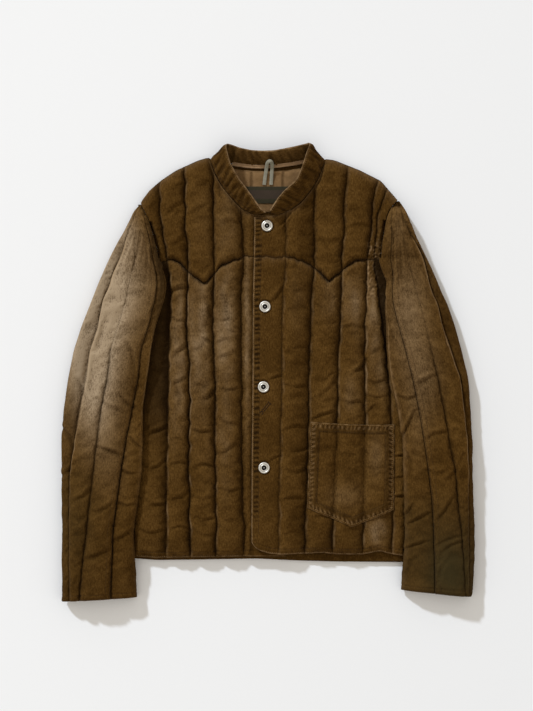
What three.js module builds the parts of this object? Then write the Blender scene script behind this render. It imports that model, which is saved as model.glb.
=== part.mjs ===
// Quilted down jacket with a stand collar, lying flat on a level surface,
// front up. Millimetres, +X towards the wearer's left, +Y towards the collar,
// +Z up. The origin is under the middle of its outline, on the surface.
import * as THREE from 'three';

// ------------------------------------------------------------ driving sizes

const GAP = 0.3;             // space between pieces that meet at a seam
const BACK_TOP = 7;          // top of the back panel where it is pressed flat
const SEAM_TOP = 10.8;       // top of the fronts at a sewn quilt line
const LOFT = 12;             // swell of a full channel over its sewn lines
const CROWN_TOP = SEAM_TOP + LOFT;
const SIDE_LOFT = 0.6;       // share of that swell in the channel along a side
const ARMHOLE_TOP = 15;      // top of the yokes at the armhole seam
const UNDER_TOP = 15.6;      // top of the right front under the left one
const UNDER_END = 30;        // X where the right front ends, under the left
const EDGE_TOP = 21;         // top of the left front along its buttoned edge
const ARMHOLE_GAP = 2.4;     // room for the armhole seam between body and sleeve
const LINE_ROOM = 1.6;       // least distance between sewn lines at the sleeve head
const HEAD_ROWS = 2;         // rows of the sleeve head with level layers
const HEAD_MIDDLE = 5.6;     // height between those layers
const UNDERARM_ROW = 5;      // sleeve row that reaches the underarm
const SHOULDER_RIGHT = [-209.5, 277.5];
const SHOULDER_LEFT = [214.5, 285.5];

const POCKET_GAP = 0.5;      // between the pocket and the front under it
const POCKET_WALL = 2.4;
const BACK_CHANNELS = 9;
const GROOVE_WIDTH = 12;
const GROOVE_DEPTH = 2.6;
const LINING_WALL = 2;
const LINING_INSET = 3;
const TAPE_WIDTH = 5;
const TAPE_WALL = 1.2;
const LOOP_WIDTH = 5;
const LOOP_WALL = 1.6;
const LABEL_SIZE = [76, 29];
const LABEL_CENTRE = [0, 294.5];
const LABEL_WALL = 1;
const COLLAR_WALL = 4.6;
const COLLAR_SWELL = 0.8;
const CUFF_SLANT_RIGHT = 0.055;
const CUFF_SLANT_LEFT = -0.1;
const BUTTON_SIDES = 24;

// --------------------------------------------------------------- size tables

// Share of a yoke's length, and how far its channels are swollen there.
const YOKE_ROWS = [
  // share, swell
  [0, 0.15], [0.1, 0.7], [0.38, 1], [0.7, 1], [0.92, 0.8], [1, 0.3],
];

// Height of the middle rows of a front, and what each one follows.
const FRONT_ROWS = [
  // Y, mark
  [66], [22], [-26], [-84, 'mouth'], [-130], [-178], [-228, 'point'], [-271],
];

// Mouth and pointed bottom of the pocket.
const POCKET_MOUTH = [
  // X, Y
  [70, -82], [209, -87],
];
const POCKET_POINT = [
  // X, Y
  [60, -225], [64, -225], [138, -256], [208, -228.5], [214, -228],
];

// Rows of the back as shares of its length.
const BACK_ROWS = [0, 0.026, 0.062, 0.113, 0.162, 0.24, 0.33, 0.5, 0.7, 0.97, 1];

// Sleeves: for each row of their tables, the crown's height, how far the
// inner edge rides up on the body, and the height of that edge.
const SLEEVE_SHAPE = [
  // row, crown, ride, edge
  [0, 15, 0, 14], [1, 18, 0, 15], [2, 21, 0, 16], [3, 24, 0.25, 17],
  [4, 26, 0.6, 18], [5, 28, 1, 22], [6, 29, 1, 22], [7, 30, 1, 22],
  [8, 31, 1, 22], [9, 31, 1, 22], [10, 32, 1, 22], [11, 32, 1, 21],
  [12, 32, 1, 20], [13, 32, 1, 18], [14, 33, 1, 16], [15, 33, 1, 15],
  [16, 33, 1, 14], [17, 33, 1, 13], [18, 31, 0, 13], [19, 24, 0, 12],
];

const BUTTONS = [
  // name, X, Y
  ['button_1', -1.5, 242.5],
  ['button_2', -5, 108.5],
  ['button_3', -7.5, -24.5],
  ['button_4', -6.5, -158.5],
];
const BUTTON_PROFILE = [
  // radius, height
  [0, 0], [8.5, 0], [9.35, 1], [9.35, 2.2], [8.3, 3.2], [6.6, 3.3], [5, 2.5], [3.4, 2.4], [2.6, 1.3], [0, 1.3],
];
const NECK_TAPE = [
  // X, Y
  [-60, 339.5], [-43, 336.5], [-10, 334.5], [27, 335.5], [45, 338], [58, 340.5],
];
const HANGER_LOOP = [
  // X, Y, Z under it
  [-8.5, 311, 9.7], [-6.5, 321, 9.8], [-4.5, 329, 11.6], [-3, 338, 12], [-2, 344, 17.5], [3, 350.5, 26.5],
  [8.5, 344, 17.5], [9, 338, 12], [9.2, 329, 11.6], [9, 321, 9.8], [8.5, 311, 9.7],
];

// Quilt lines of the wearer's right front: a row for each height Y, X of each line.
const RIGHT_FRONT_LINES = [
  // Y, side, a, b, c, d, edge
  [355, -209, -182.5, -139.5, -92, -45, -22.5],
  [310.5, -209, -180.5, -138.5, -91, -45, -22.5],
  [260.5, -201, -178, -137, -91, -44.5, -22.5],
  [211, -185.5, -171.5, -134.5, -89.5, -42, -23],
  [182.5, -179, -167, -133, -89, -40, -23.5],
  [136, -192.5, -161.5, -134.5, -89.5, -45, -24.5],
  [86.5, -200.5, -162.5, -135, -91, -45, -25],
  [36.5, -207.5, -164, -132, -89.5, -45, -25],
  [-38, -214, -166, -129.5, -86, -45, -25.5],
  [-112.5, -219, -167.5, -131, -88, -44, -26.5],
  [-187, -221.5, -168.5, -131, -86, -43, -27],
  [-262, -224, -169, -129.5, -86, -40.5, -27.5],
  [-305, -224, -169, -129.5, -86, -40, -26.5],
];

// Quilt lines of the wearer's left front, from its buttoned edge to its side.
const LEFT_FRONT_LINES = [
  // Y, edge, e, f, g, h, i, side
  [355, -22.5, 30, 78, 132.5, 180.5, 190.5, 214.5],
  [310.5, -22.5, 30, 78, 130, 180.5, 190.5, 214.5],
  [285.5, -22.5, 30, 78, 127.5, 174, 190.5, 214.5],
  [272, -22.5, 30, 77.5, 127, 173, 186, 203],
  [257, -22.5, 30, 77.5, 126.5, 172, 181.5, 196.5],
  [232.5, -22.5, 30, 77, 126, 170.5, 181.5, 192.5],
  [211, -23, 30, 77.5, 124.5, 167.5, 179.5, 188],
  [182.5, -23.5, 29.5, 77.5, 122.5, 164, 176.5, 186.5],
  [136, -24.5, 25, 74, 122.5, 164, 182.5, 202.5],
  [86.5, -25, 23, 71, 121, 161, 189, 212],
  [36.5, -25, 23, 69.5, 117.5, 161, 195.5, 219],
  [-38, -25.5, 22.5, 68.5, 116, 161.5, 204, 227],
  [-112.5, -26.5, 20.5, 67, 115, 160.5, 205.5, 230.5],
  [-187, -27, 18, 64.5, 111, 159, 205.5, 231.5],
  [-262, -27.5, 18, 62, 108, 158.5, 205.5, 229],
  [-305, -26.5, 16.5, 61.5, 108, 157.5, 205.5, 225.5],
];

// Shoulder line, then neck seam, of the wearer's right yoke.
const TOP_LINE_RIGHT = [
  // X, Y
  [-209.5, 277.5],
  [-207, 286],
  [-196, 302.5],
  [-178, 318.5],
  [-153, 335],
  [-116.5, 351.5],
  [-98.5, 356.5],
  [-89.5, 330.5],
  [-77, 308.5],
  [-58, 285],
  [-44, 271.5],
  [-27.5, 263],
  [-11, 260.5],
  [30, 259.5],
];

// Neck seam, then shoulder line, of the wearer's left yoke.
const TOP_LINE_LEFT = [
  // X, Y
  [-30, 258],
  [-10, 257.5],
  [0, 258],
  [19.5, 263],
  [38.5, 268.5],
  [55, 281],
  [73, 303],
  [86.5, 325],
  [96.5, 354],
  [110.5, 352],
  [153, 335.5],
  [188, 317.5],
  [201, 302],
  [215, 286],
];

// Shoulder lines and neckline of the back.
const TOP_LINE_BACK = [
  // X, Y
  [-210, 278.5],
  [-207.5, 286.5],
  [-196.5, 303.5],
  [-178.5, 319],
  [-153.5, 336],
  [-116.5, 352.5],
  [-99, 357.5],
  [-91.5, 351.5],
  [-76.5, 346.5],
  [-60, 342.5],
  [-35, 339],
  [-9, 338.5],
  [16.5, 339.5],
  [38.5, 342.5],
  [58.5, 346],
  [73.5, 349],
  [88.5, 351.5],
  [96.5, 355],
  [111, 353],
  [153.5, 336],
  [188.5, 318.5],
  [201.5, 303],
  [216, 286.5],
];

// Yoke seam of the wearer's right front, down to its point and up again.
const YOKE_SEAM_RIGHT = [
  // X, Y
  [-187.5, 183.5],
  [-179, 182.5],
  [-157.5, 187.5],
  [-144.5, 181],
  [-128.5, 162],
  [-106.5, 145.5],
  [-86, 166],
  [-76.5, 177.5],
  [-59.5, 185],
  [-40, 191],
  [-22, 192.5],
  [36.5, 192.5],
];

// Yoke seam of the wearer's left front.
const YOKE_SEAM_LEFT = [
  // X, Y
  [-30, 191],
  [-13.5, 191],
  [32.5, 190],
  [46.5, 187.5],
  [63, 181],
  [78, 172.5],
  [101, 150],
  [127.5, 172.5],
  [146.5, 186],
  [167.5, 188],
  [187.5, 189],
  [219, 189],
];

// Hem of the wearer's right front.
const HEM_RIGHT = [
  // X, Y
  [-229, -306.5],
  [-224, -306.5],
  [-184, -309],
  [-127.5, -308],
  [-84.5, -307.5],
  [-31.5, -306],
  [36.5, -305.5],
];

// Hem of the wearer's left front, rounded at its buttoned corner.
const HEM_LEFT = [
  // X, Y
  [-28, -280],
  [-26.5, -283.5],
  [-21.5, -290],
  [-14, -296],
  [1.5, -300.5],
  [17.5, -302],
  [64.5, -302],
  [112.5, -303],
  [157.5, -303],
  [185.5, -300],
  [208, -303],
  [227, -305.5],
];

// Hem of the back, a little below the fronts'.
const HEM_BACK = [
  // X, Y
  [-230, -310],
  [-185, -313],
  [-113.5, -312.5],
  [-18.5, -310.5],
  [50, -314],
  [113.5, -315.5],
  [176.5, -316],
  [230, -316.5],
];

// Wearer's right sleeve: outer edge, three sewn lines and inner edge at each height Y.
const SLEEVE_RIGHT_ROWS = [
  // Y, outer, s1, s2, s3, inner
  [269.5, -222.5, -218.5, -214, -209, -205],
  [264, -224.5, -219.5, -215, -207.5, -202.5],
  [249, -231, -225, -217, -203.5, -196],
  [227.5, -243, -233.5, -218.5, -198.5, -190],
  [202.5, -256, -240.5, -219, -193.5, -183.5],
  [182.5, -266, -248, -221, -190.5, -179],
  [161, -275.5, -258, -226.5, -185.5, -170.5],
  [144.5, -282.5, -262.5, -230, -183.5, -167],
  [119.5, -292.5, -273, -235, -187, -171],
  [78, -309.5, -281.5, -247, -197, -185],
  [36.5, -322.5, -293, -260, -210, -193.5],
  [-13, -332.5, -301, -266.5, -215, -201.5],
  [-63, -339, -311, -276.5, -225, -209],
  [-112.5, -343.5, -319.5, -283, -235, -208],
  [-162.5, -341.5, -327.5, -288.5, -243, -209.5],
  [-212, -342, -329.5, -294.5, -250, -216.5],
  [-262, -341, -329.5, -300.5, -256.5, -225],
  [-311.5, -342, -329.5, -306, -258, -222],
  [-353, -341, -328.5, -310, -260, -221],
  [-378, -341, -328.5, -312, -260.5, -220],
];

// Wearer's left sleeve, likewise.
const SLEEVE_LEFT_ROWS = [
  // Y, outer, s1, s2, s3, inner
  [275.5, 223.5, 217, 212.5, 208.5, 204.5],
  [269, 226, 217.5, 210, 203.5, 196.5],
  [252, 233, 223.5, 214, 203.5, 193.5],
  [227.5, 243.5, 236.5, 221.5, 205, 192.5],
  [202.5, 256, 250, 228.5, 204.5, 189],
  [182.5, 266, 258, 233.5, 203.5, 189],
  [161, 276, 264, 238, 207.5, 199],
  [136, 286, 270.5, 244, 206, 197],
  [111.5, 297.5, 281, 251.5, 207.5, 192.5],
  [78, 309.5, 288.5, 259.5, 216, 195],
  [36.5, 321, 303, 269.5, 227.5, 196],
  [-13, 332.5, 318.5, 281, 240, 201.5],
  [-63, 336, 325, 291, 250, 214],
  [-112.5, 339, 330, 299.5, 258, 224.5],
  [-162.5, 339, 332.5, 309.5, 265, 225.5],
  [-212, 341, 331.5, 313.5, 271.5, 227],
  [-262, 343, 332.5, 319.5, 274, 229],
  [-311.5, 342.5, 332.5, 323.5, 275.5, 226],
  [-353, 341, 333.5, 326, 276.5, 223.5],
  [-368, 337.5, 333.5, 326.5, 276.5, 223],
];

// Collar band, from its right end round the back of the neck to its left end: seam point and free-edge point.
const COLLAR_STATIONS = [
  // X seam, Y seam, Z seam, X top, Y top, Z top
  [-18.5, 261, 21, -3.5, 263.5, 37],
  [-30, 264.5, 17.5, -10, 268, 38],
  [-44, 271, 15, -21.5, 284.5, 39],
  [-58, 285, 15, -35.5, 304, 39.5],
  [-69, 297.5, 15, -46, 317.5, 39.5],
  [-77, 308.5, 15, -55, 333, 39.5],
  [-84.5, 321.5, 14.5, -62, 345.5, 39],
  [-91.5, 335.5, 14.5, -66, 361, 38.5],
  [-97, 351.5, 14, -69, 373.5, 38],
  [-91.5, 355, 12, -67, 377.5, 38],
  [-76.5, 350.5, 9, -60, 375.5, 38],
  [-60, 345.5, 7.5, -47, 370.5, 38],
  [-35, 342, 7, -28, 366.5, 38],
  [-9, 340.5, 7, -9.5, 365.5, 38],
  [16.5, 342.5, 7, 10, 366, 38],
  [38.5, 345.5, 7, 28, 369.5, 38],
  [58.5, 349.5, 7.5, 45.5, 373, 38],
  [73, 352, 9, 58.5, 376.5, 38],
  [88, 354.5, 12, 68.5, 378.5, 38],
  [96.5, 352.5, 14, 68.5, 376, 38],
  [92, 339, 14.5, 63.5, 364.5, 38.5],
  [86.5, 325, 14.5, 58, 348, 39],
  [79.5, 313.5, 15, 53.5, 333, 39.5],
  [73, 303, 15, 46.5, 318, 39.5],
  [64, 291.5, 15, 37, 309, 39.5],
  [55, 280.5, 17.5, 25.5, 299, 39.5],
  [38.5, 268, 20.5, 14, 285, 39.5],
  [25, 263.5, 21.5, 6.5, 273, 39],
  [6, 259, 21.5, 3, 266.5, 36],
];

// ------------------------------------------------------------------ helpers

const clamp01 = (t) => Math.min(1, Math.max(0, t));
const mix = (a, b, t) => a + (b - a) * t;

// Value of a two-column table at a position; the first column is the position.
function along(rows, at, from = 0, to = 1) {
  const list = [...rows].sort((p, q) => p[from] - q[from]);
  if (at <= list[0][from]) return list[0][to];
  for (let k = 1; k < list.length; k += 1) {
    if (at <= list[k][from]) {
      const t = (at - list[k - 1][from]) / (list[k][from] - list[k - 1][from]);
      return mix(list[k - 1][to], list[k][to], t);
    }
  }
  return list[list.length - 1][to];
}

// Solid through rings that all have the same number of points. Each quad is
// cut along the diagonal that climbs in X, so that two layers with the same
// plan points keep a constant gap. An end is closed by a fan, or, where the
// first points of a ring are its lower chain, by triangles between its chains.
function loft(name, rings, material, lowerCount = 0) {
  const count = rings[0].length;
  const vertices = rings.flat();
  const faces = [];
  for (let r = 0; r + 1 < rings.length; r += 1) {
    for (let i = 0; i < count; i += 1) {
      const j = (i + 1) % count;
      const a = r * count + i, b = r * count + j;
      const c = (r + 1) * count + i, d = (r + 1) * count + j;
      if (rings[r][i].x <= rings[r][j].x) faces.push([a, b, d], [a, d, c]);
      else faces.push([a, b, c], [b, d, c]);
    }
  }
  const cap = (ring) => {
    const out = [];
    if (!lowerCount) {
      for (let i = 1; i + 1 < count; i += 1) out.push([0, i, i + 1]);
      return out;
    }
    const climb = Math.sign(ring[lowerCount - 1].x - ring[0].x);
    let low = 0, high = count - 1;
    while (low < lowerCount - 1 || high > lowerCount) {
      const upright = high > lowerCount && Math.abs(ring[high - 1].x - ring[high].x) < 1e-6;
      const stepLow = high === lowerCount
        || (low < lowerCount - 1 && (upright || (ring[low + 1].x - ring[high - 1].x) * climb <= 0));
      if (stepLow) {
        out.push([low, low + 1, high]);
        low += 1;
      } else {
        out.push([low, high - 1, high]);
        high -= 1;
        if (upright && Math.abs(ring[high].x - ring[low].x) < 1e-6) throw new Error('flat end triangle');
      }
    }
    return out;
  };
  cap(rings[0]).forEach(([a, b, c]) => faces.push([a, c, b]));
  const end = (rings.length - 1) * count;
  cap(rings[rings.length - 1]).forEach(([a, b, c]) => faces.push([end + a, end + b, end + c]));
  return solid(name, vertices, faces, material);
}

// Closed mesh from points and faces, turned outward by its signed volume.
function solid(name, vertices, faces, material) {
  let volume = 0;
  for (const [a, b, c] of faces) {
    volume += vertices[a].dot(new THREE.Vector3().crossVectors(vertices[b], vertices[c])) / 6;
  }
  const index = (volume < 0 ? faces.map(([a, b, c]) => [a, c, b]) : faces).flat();
  const geometry = new THREE.BufferGeometry();
  geometry.setAttribute('position', new THREE.Float32BufferAttribute(vertices.flatMap((p) => [p.x, p.y, p.z]), 3));
  geometry.setIndex(index);
  geometry.computeVertexNormals();
  const mesh = new THREE.Mesh(geometry, material);
  mesh.name = name;
  return mesh;
}

const point = (x, y, z) => new THREE.Vector3(x, y, z);

// ------------------------------------------------------- quilted body panels

// Columns of a panel: each has its X at a height Y, and the height of the
// cloth over its own sewn lines (0 on a line, 1 on the crown of a channel).
function quiltColumns(table, names, steps) {
  const line = (name) => {
    const to = table.names.indexOf(name);
    return (y) => along(table.rows, y, 0, to);
  };
  const columns = [];
  names.forEach((name, n) => {
    const left = line(name);
    columns.push({ x: left, name, crown: 0, width: () => 0 });
    if (n + 1 === names.length) return;
    const right = line(names[n + 1]);
    for (let s = 1; s < steps; s += 1) {
      const t = s / steps;
      const outermost = name === 'side' || names[n + 1] === 'side';
      columns.push({
        x: (y) => mix(left(y), right(y), t),
        name: `${name}+${s}`,
        crown: (1 - Math.abs(2 * t - 1) ** 2.4) * (outermost ? SIDE_LOFT : 1),
        width: (y) => Math.abs(right(y) - left(y)),
      });
    }
  });
  return columns;
}

// Height of a crown over its sewn lines, less in a narrow channel.
const loftOf = (width) => Math.min(LOFT, 0.42 * width);

// Y where a column meets a boundary line that is given as Y over X.
function meet(column, boundary, start) {
  let y = start;
  for (let k = 0; k < 12; k += 1) y = mix(y, along(boundary, column.x(y)), 0.7);
  return y;
}

const RIGHT = { names: ['Y', 'side', 'a', 'b', 'c', 'd', 'edge'], rows: RIGHT_FRONT_LINES };
const LEFT = { names: ['Y', 'edge', 'e', 'f', 'g', 'h', 'i', 'side'], rows: LEFT_FRONT_LINES };

// The right front runs on under the buttoned edge of the left front.
const rightColumns = quiltColumns(RIGHT, ['side', 'a', 'b', 'c', 'd'], 4);
const rightEdge = (y) => along(RIGHT_FRONT_LINES, y, 0, 6);
const rightD = (y) => along(RIGHT_FRONT_LINES, y, 0, 5);
rightColumns.push(
  { x: (y) => mix(rightD(y), rightEdge(y), 0.5), top: UNDER_TOP - 1.5 },
  { x: (y) => rightEdge(y), top: UNDER_TOP },
  { x: () => UNDER_END, top: UNDER_TOP },
);

// The left front lies on it, then comes down to the back.
const leftColumns = quiltColumns(LEFT, ['e', 'f', 'g', 'h', 'i', 'side'], 4);
const leftEdge = (y) => along(LEFT_FRONT_LINES, y, 0, 1);
const lineE = (y) => along(LEFT_FRONT_LINES, y, 0, 2);
leftColumns[0] = { x: lineE, top: EDGE_TOP + 0.4, bottom: UNDER_TOP + GAP };
leftColumns[1] = { x: (y) => Math.max(UNDER_END + 3, lineE(y) + 8), top: EDGE_TOP + 3.4, bottom: UNDER_TOP + GAP };
leftColumns[2] = { x: (y) => Math.max(UNDER_END + 12, lineE(y) + 20), top: CROWN_TOP + 0.6, bottom: BACK_TOP + GAP };
leftColumns.unshift(
  { x: leftEdge, top: EDGE_TOP - 1.6, bottom: UNDER_TOP + GAP },
  { x: (y) => leftEdge(y) + 6, top: EDGE_TOP, bottom: UNDER_TOP + GAP },
  { x: (y) => leftEdge(y) + 33, top: EDGE_TOP, bottom: UNDER_TOP + GAP },
  { x: (y) => mix(leftEdge(y) + 33, lineE(y), 0.5), top: EDGE_TOP + 1.6, bottom: UNDER_TOP + GAP },
);

const isSide = (column) => column.name === 'side';

// Panel solid from its columns and rows. A row gives Y on each column and how
// far the channels are swollen there.
function panel(name, columns, rows, sideTop, material) {
  const grid = rows.map((row) => columns.map((column) => {
    const y = row.y(column);
    const low = isSide(column) ? sideTop : SEAM_TOP;
    const bottom = column.bottom ?? BACK_TOP + GAP;
    const top = column.top !== undefined
      ? mix(Math.min(column.top, bottom + 4), column.top, clamp01(row.swell * 1.4))
      : low + loftOf(column.width(y)) * column.crown * row.swell;
    return { x: column.x(y), y, top, bottom };
  }));
  const rings = grid.map((cells) => [
    ...cells.map((c) => point(c.x, c.y, c.bottom)),
    ...[...cells].reverse().map((c) => point(c.x, c.y, c.top)),
  ]);
  return { mesh: loft(name, rings, material, columns.length), grid };
}

// Rows of a yoke: from its shoulder and neck line down to its seam.
function yokeRows(topLine, seamLine, shoulder) {
  const ends = new Map();
  const span = (column) => {
    if (!ends.has(column)) {
      const top = isSide(column) ? shoulder[1] : meet(column, topLine, 300);
      const low = meet(column, seamLine, 180) + GAP;
      ends.set(column, [top, low]);
    }
    return ends.get(column);
  };
  return YOKE_ROWS.map(([share, swell]) => ({
    y: (column) => mix(...span(column), share),
    swell,
  }));
}

// Rows of a front: from the yoke seam down to the hem. Two of them follow the
// pocket's mouth and its pointed bottom on the columns that it covers.
function frontRows(seamLine, hemLine) {
  const top = (column) => meet(column, seamLine, 180);
  const low = (column) => meet(column, hemLine, -290);
  const rows = [
    { y: top, swell: 0.25 },
    { y: (column) => top(column) - 9, swell: 0.8 },
    { y: (column) => 108 + 0.35 * (top(column) - 170), swell: 1 },
    ...FRONT_ROWS.map(([y, mark]) => ({
      y: (column) => {
        const x = column.x(y);
        if (mark === 'mouth') return along(POCKET_MOUTH, x);
        if (mark === 'point') return along(POCKET_POINT, x);
        return y;
      },
      swell: 1,
      mark,
    })),
    { y: (column) => low(column) + 9, swell: 0.85 },
    { y: low, swell: 0.2 },
  ];
  return rows;
}

// ------------------------------------------------------------------- colours

const cloth = new THREE.MeshStandardMaterial({ color: 0x53401f, roughness: 0.9, metalness: 0 });
const clothLight = new THREE.MeshStandardMaterial({ color: 0x6d5533, roughness: 0.9, metalness: 0 });
const clothYoke = new THREE.MeshStandardMaterial({ color: 0x4a3819, roughness: 0.9, metalness: 0 });
const liningCloth = new THREE.MeshStandardMaterial({ color: 0x7d6645, roughness: 0.9, metalness: 0 });
const tapeCloth = new THREE.MeshStandardMaterial({ color: 0xa58b68, roughness: 0.85, metalness: 0 });
const loopCloth = new THREE.MeshStandardMaterial({ color: 0x4f5344, roughness: 0.8, metalness: 0 });
const labelCloth = new THREE.MeshStandardMaterial({ color: 0x35372a, roughness: 0.8, metalness: 0 });
const buttonMetal = new THREE.MeshStandardMaterial({ color: 0xc9c6bd, roughness: 0.35, metalness: 0.9 });

const jacket = new THREE.Group();
jacket.name = 'jacket';

// -------------------------------------------------------------- fronts, yokes

const yokeRight = panel('yoke_right', rightColumns, yokeRows(TOP_LINE_RIGHT, YOKE_SEAM_RIGHT, SHOULDER_RIGHT), ARMHOLE_TOP, clothYoke);
const yokeLeft = panel('yoke_left', leftColumns, yokeRows(TOP_LINE_LEFT, YOKE_SEAM_LEFT, SHOULDER_LEFT), ARMHOLE_TOP, clothYoke);
const frontRight = panel('front_right', rightColumns, frontRows(YOKE_SEAM_RIGHT, HEM_RIGHT), SEAM_TOP, clothLight);
const leftRows = frontRows(YOKE_SEAM_LEFT, HEM_LEFT);
const frontLeft = panel('front_left', leftColumns, leftRows, SEAM_TOP, clothLight);
jacket.add(yokeRight.mesh, yokeLeft.mesh, frontRight.mesh, frontLeft.mesh);

// Patch pocket: the front's own points between lines f and i, moved out.
{
  const first = leftColumns.findIndex((c) => c.name === 'f');
  const last = leftColumns.findIndex((c) => c.name === 'i');
  const mouth = leftRows.findIndex((r) => r.mark === 'mouth');
  const foot = leftRows.findIndex((r) => r.mark === 'point');
  const rings = frontLeft.grid.slice(mouth, foot + 1).map((cells) => {
    const used = cells.slice(first, last + 1);
    return [
      ...used.map((c) => point(c.x, c.y, c.top + POCKET_GAP)),
      ...[...used].reverse().map((c) => point(c.x, c.y, c.top + POCKET_GAP + POCKET_WALL)),
    ];
  });
  jacket.add(loft('pocket', rings, clothLight, last - first + 1));
}

// ----------------------------------------------------------------------- back

// The back is one quilted panel. It lies flat, with a shallow groove along
// each sewn line of its underside.
{
  const sideX = (y, side) => along(side < 0 ? RIGHT_FRONT_LINES : LEFT_FRONT_LINES, y, 0, side < 0 ? 1 : 7);
  const columns = [{ share: 0, groove: 0 }];
  for (let n = 1; n < BACK_CHANNELS; n += 1) {
    const share = n / BACK_CHANNELS;
    for (const off of [-1, 0, 1]) columns.push({ share, off: off * GROOVE_WIDTH / 2, groove: off === 0 ? GROOVE_DEPTH : 0 });
  }
  columns.push({ share: 1, groove: 0 });
  const xAt = (column, y) => mix(sideX(y, -1), sideX(y, 1), column.share) + (column.off ?? 0);
  const ends = columns.map((column) => {
    if (column.share === 0) return [SHOULDER_RIGHT[1], along(HEM_BACK, xAt(column, -300))];
    if (column.share === 1) return [SHOULDER_LEFT[1], along(HEM_BACK, xAt(column, -300))];
    const fake = { x: (y) => xAt(column, y) };
    return [meet(fake, TOP_LINE_BACK, 320), meet(fake, HEM_BACK, -300)];
  });
  const rings = BACK_ROWS.map((share) => {
    const cells = columns.map((column, n) => {
      const y = mix(ends[n][0], ends[n][1], share);
      return { x: xAt(column, y), y, groove: column.groove };
    });
    return [
      ...cells.map((c) => point(c.x, c.y, c.groove)),
      ...[...cells].reverse().map((c) => point(c.x, c.y, BACK_TOP)),
    ];
  });
  jacket.add(loft('back_panel', rings, cloth, columns.length));
}

// --------------------------------------------------------------------- lining

// The lining of the back, where the neck opening shows it.
{
  const right = TOP_LINE_RIGHT.filter(([x], n) => n >= 6 && x < -20);
  const left = TOP_LINE_LEFT.filter(([x]) => x > 15 && x < 99);
  const back = TOP_LINE_BACK.filter(([x]) => x > -95 && x < 92).reverse();
  const outline = [...right, ...left, ...back].map(([x, y]) => {
    const toX = -x, toY = 308 - y, far = Math.hypot(toX, toY);
    return new THREE.Vector2(x + LINING_INSET * toX / far, y + LINING_INSET * toY / far);
  });
  const geometry = new THREE.ExtrudeGeometry(new THREE.Shape(outline), { depth: LINING_WALL, bevelEnabled: false });
  geometry.translate(0, 0, BACK_TOP + GAP);
  const mesh = new THREE.Mesh(geometry, liningCloth);
  mesh.name = 'back_lining';
  jacket.add(mesh);
}
const LINING_TOP = BACK_TOP + GAP + LINING_WALL;

// A flat strip of a width and a wall along a path of [x, y, z under it].
function strip(name, path, width, wall, material) {
  const rings = path.map((here, n) => {
    const before = path[Math.max(0, n - 1)], after = path[Math.min(path.length - 1, n + 1)];
    const run = new THREE.Vector2(after[0] - before[0], after[1] - before[1]).normalize();
    const across = new THREE.Vector2(-run.y, run.x).multiplyScalar(width / 2);
    const [x, y, z] = here;
    return [
      point(x - across.x, y - across.y, z), point(x + across.x, y + across.y, z),
      point(x + across.x, y + across.y, z + wall), point(x - across.x, y - across.y, z + wall),
    ];
  });
  return loft(name, rings, material);
}

jacket.add(strip('neck_tape', NECK_TAPE.map(([x, y]) => [x, y, LINING_TOP + GAP]), TAPE_WIDTH, TAPE_WALL, tapeCloth));
jacket.add(strip('hanger_loop', HANGER_LOOP, LOOP_WIDTH, LOOP_WALL, loopCloth));

// Plain woven label, blank.
{
  const geometry = new THREE.BoxGeometry(LABEL_SIZE[0], LABEL_SIZE[1], LABEL_WALL, 2, 1, 1);
  const mesh = new THREE.Mesh(geometry, labelCloth);
  mesh.position.set(LABEL_CENTRE[0], LABEL_CENTRE[1], LINING_TOP + GAP + LABEL_WALL / 2);
  mesh.name = 'neck_label';
  jacket.add(mesh);
}

// --------------------------------------------------------------------- sleeves

// Height that a sleeve must clear over the side of the body; the distance is
// measured inward from the body's side edge.
const RIDE = [[-18, 0], [0, 14.5], [10, 20.5], [20, 23.5], [40, 26]];

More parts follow.
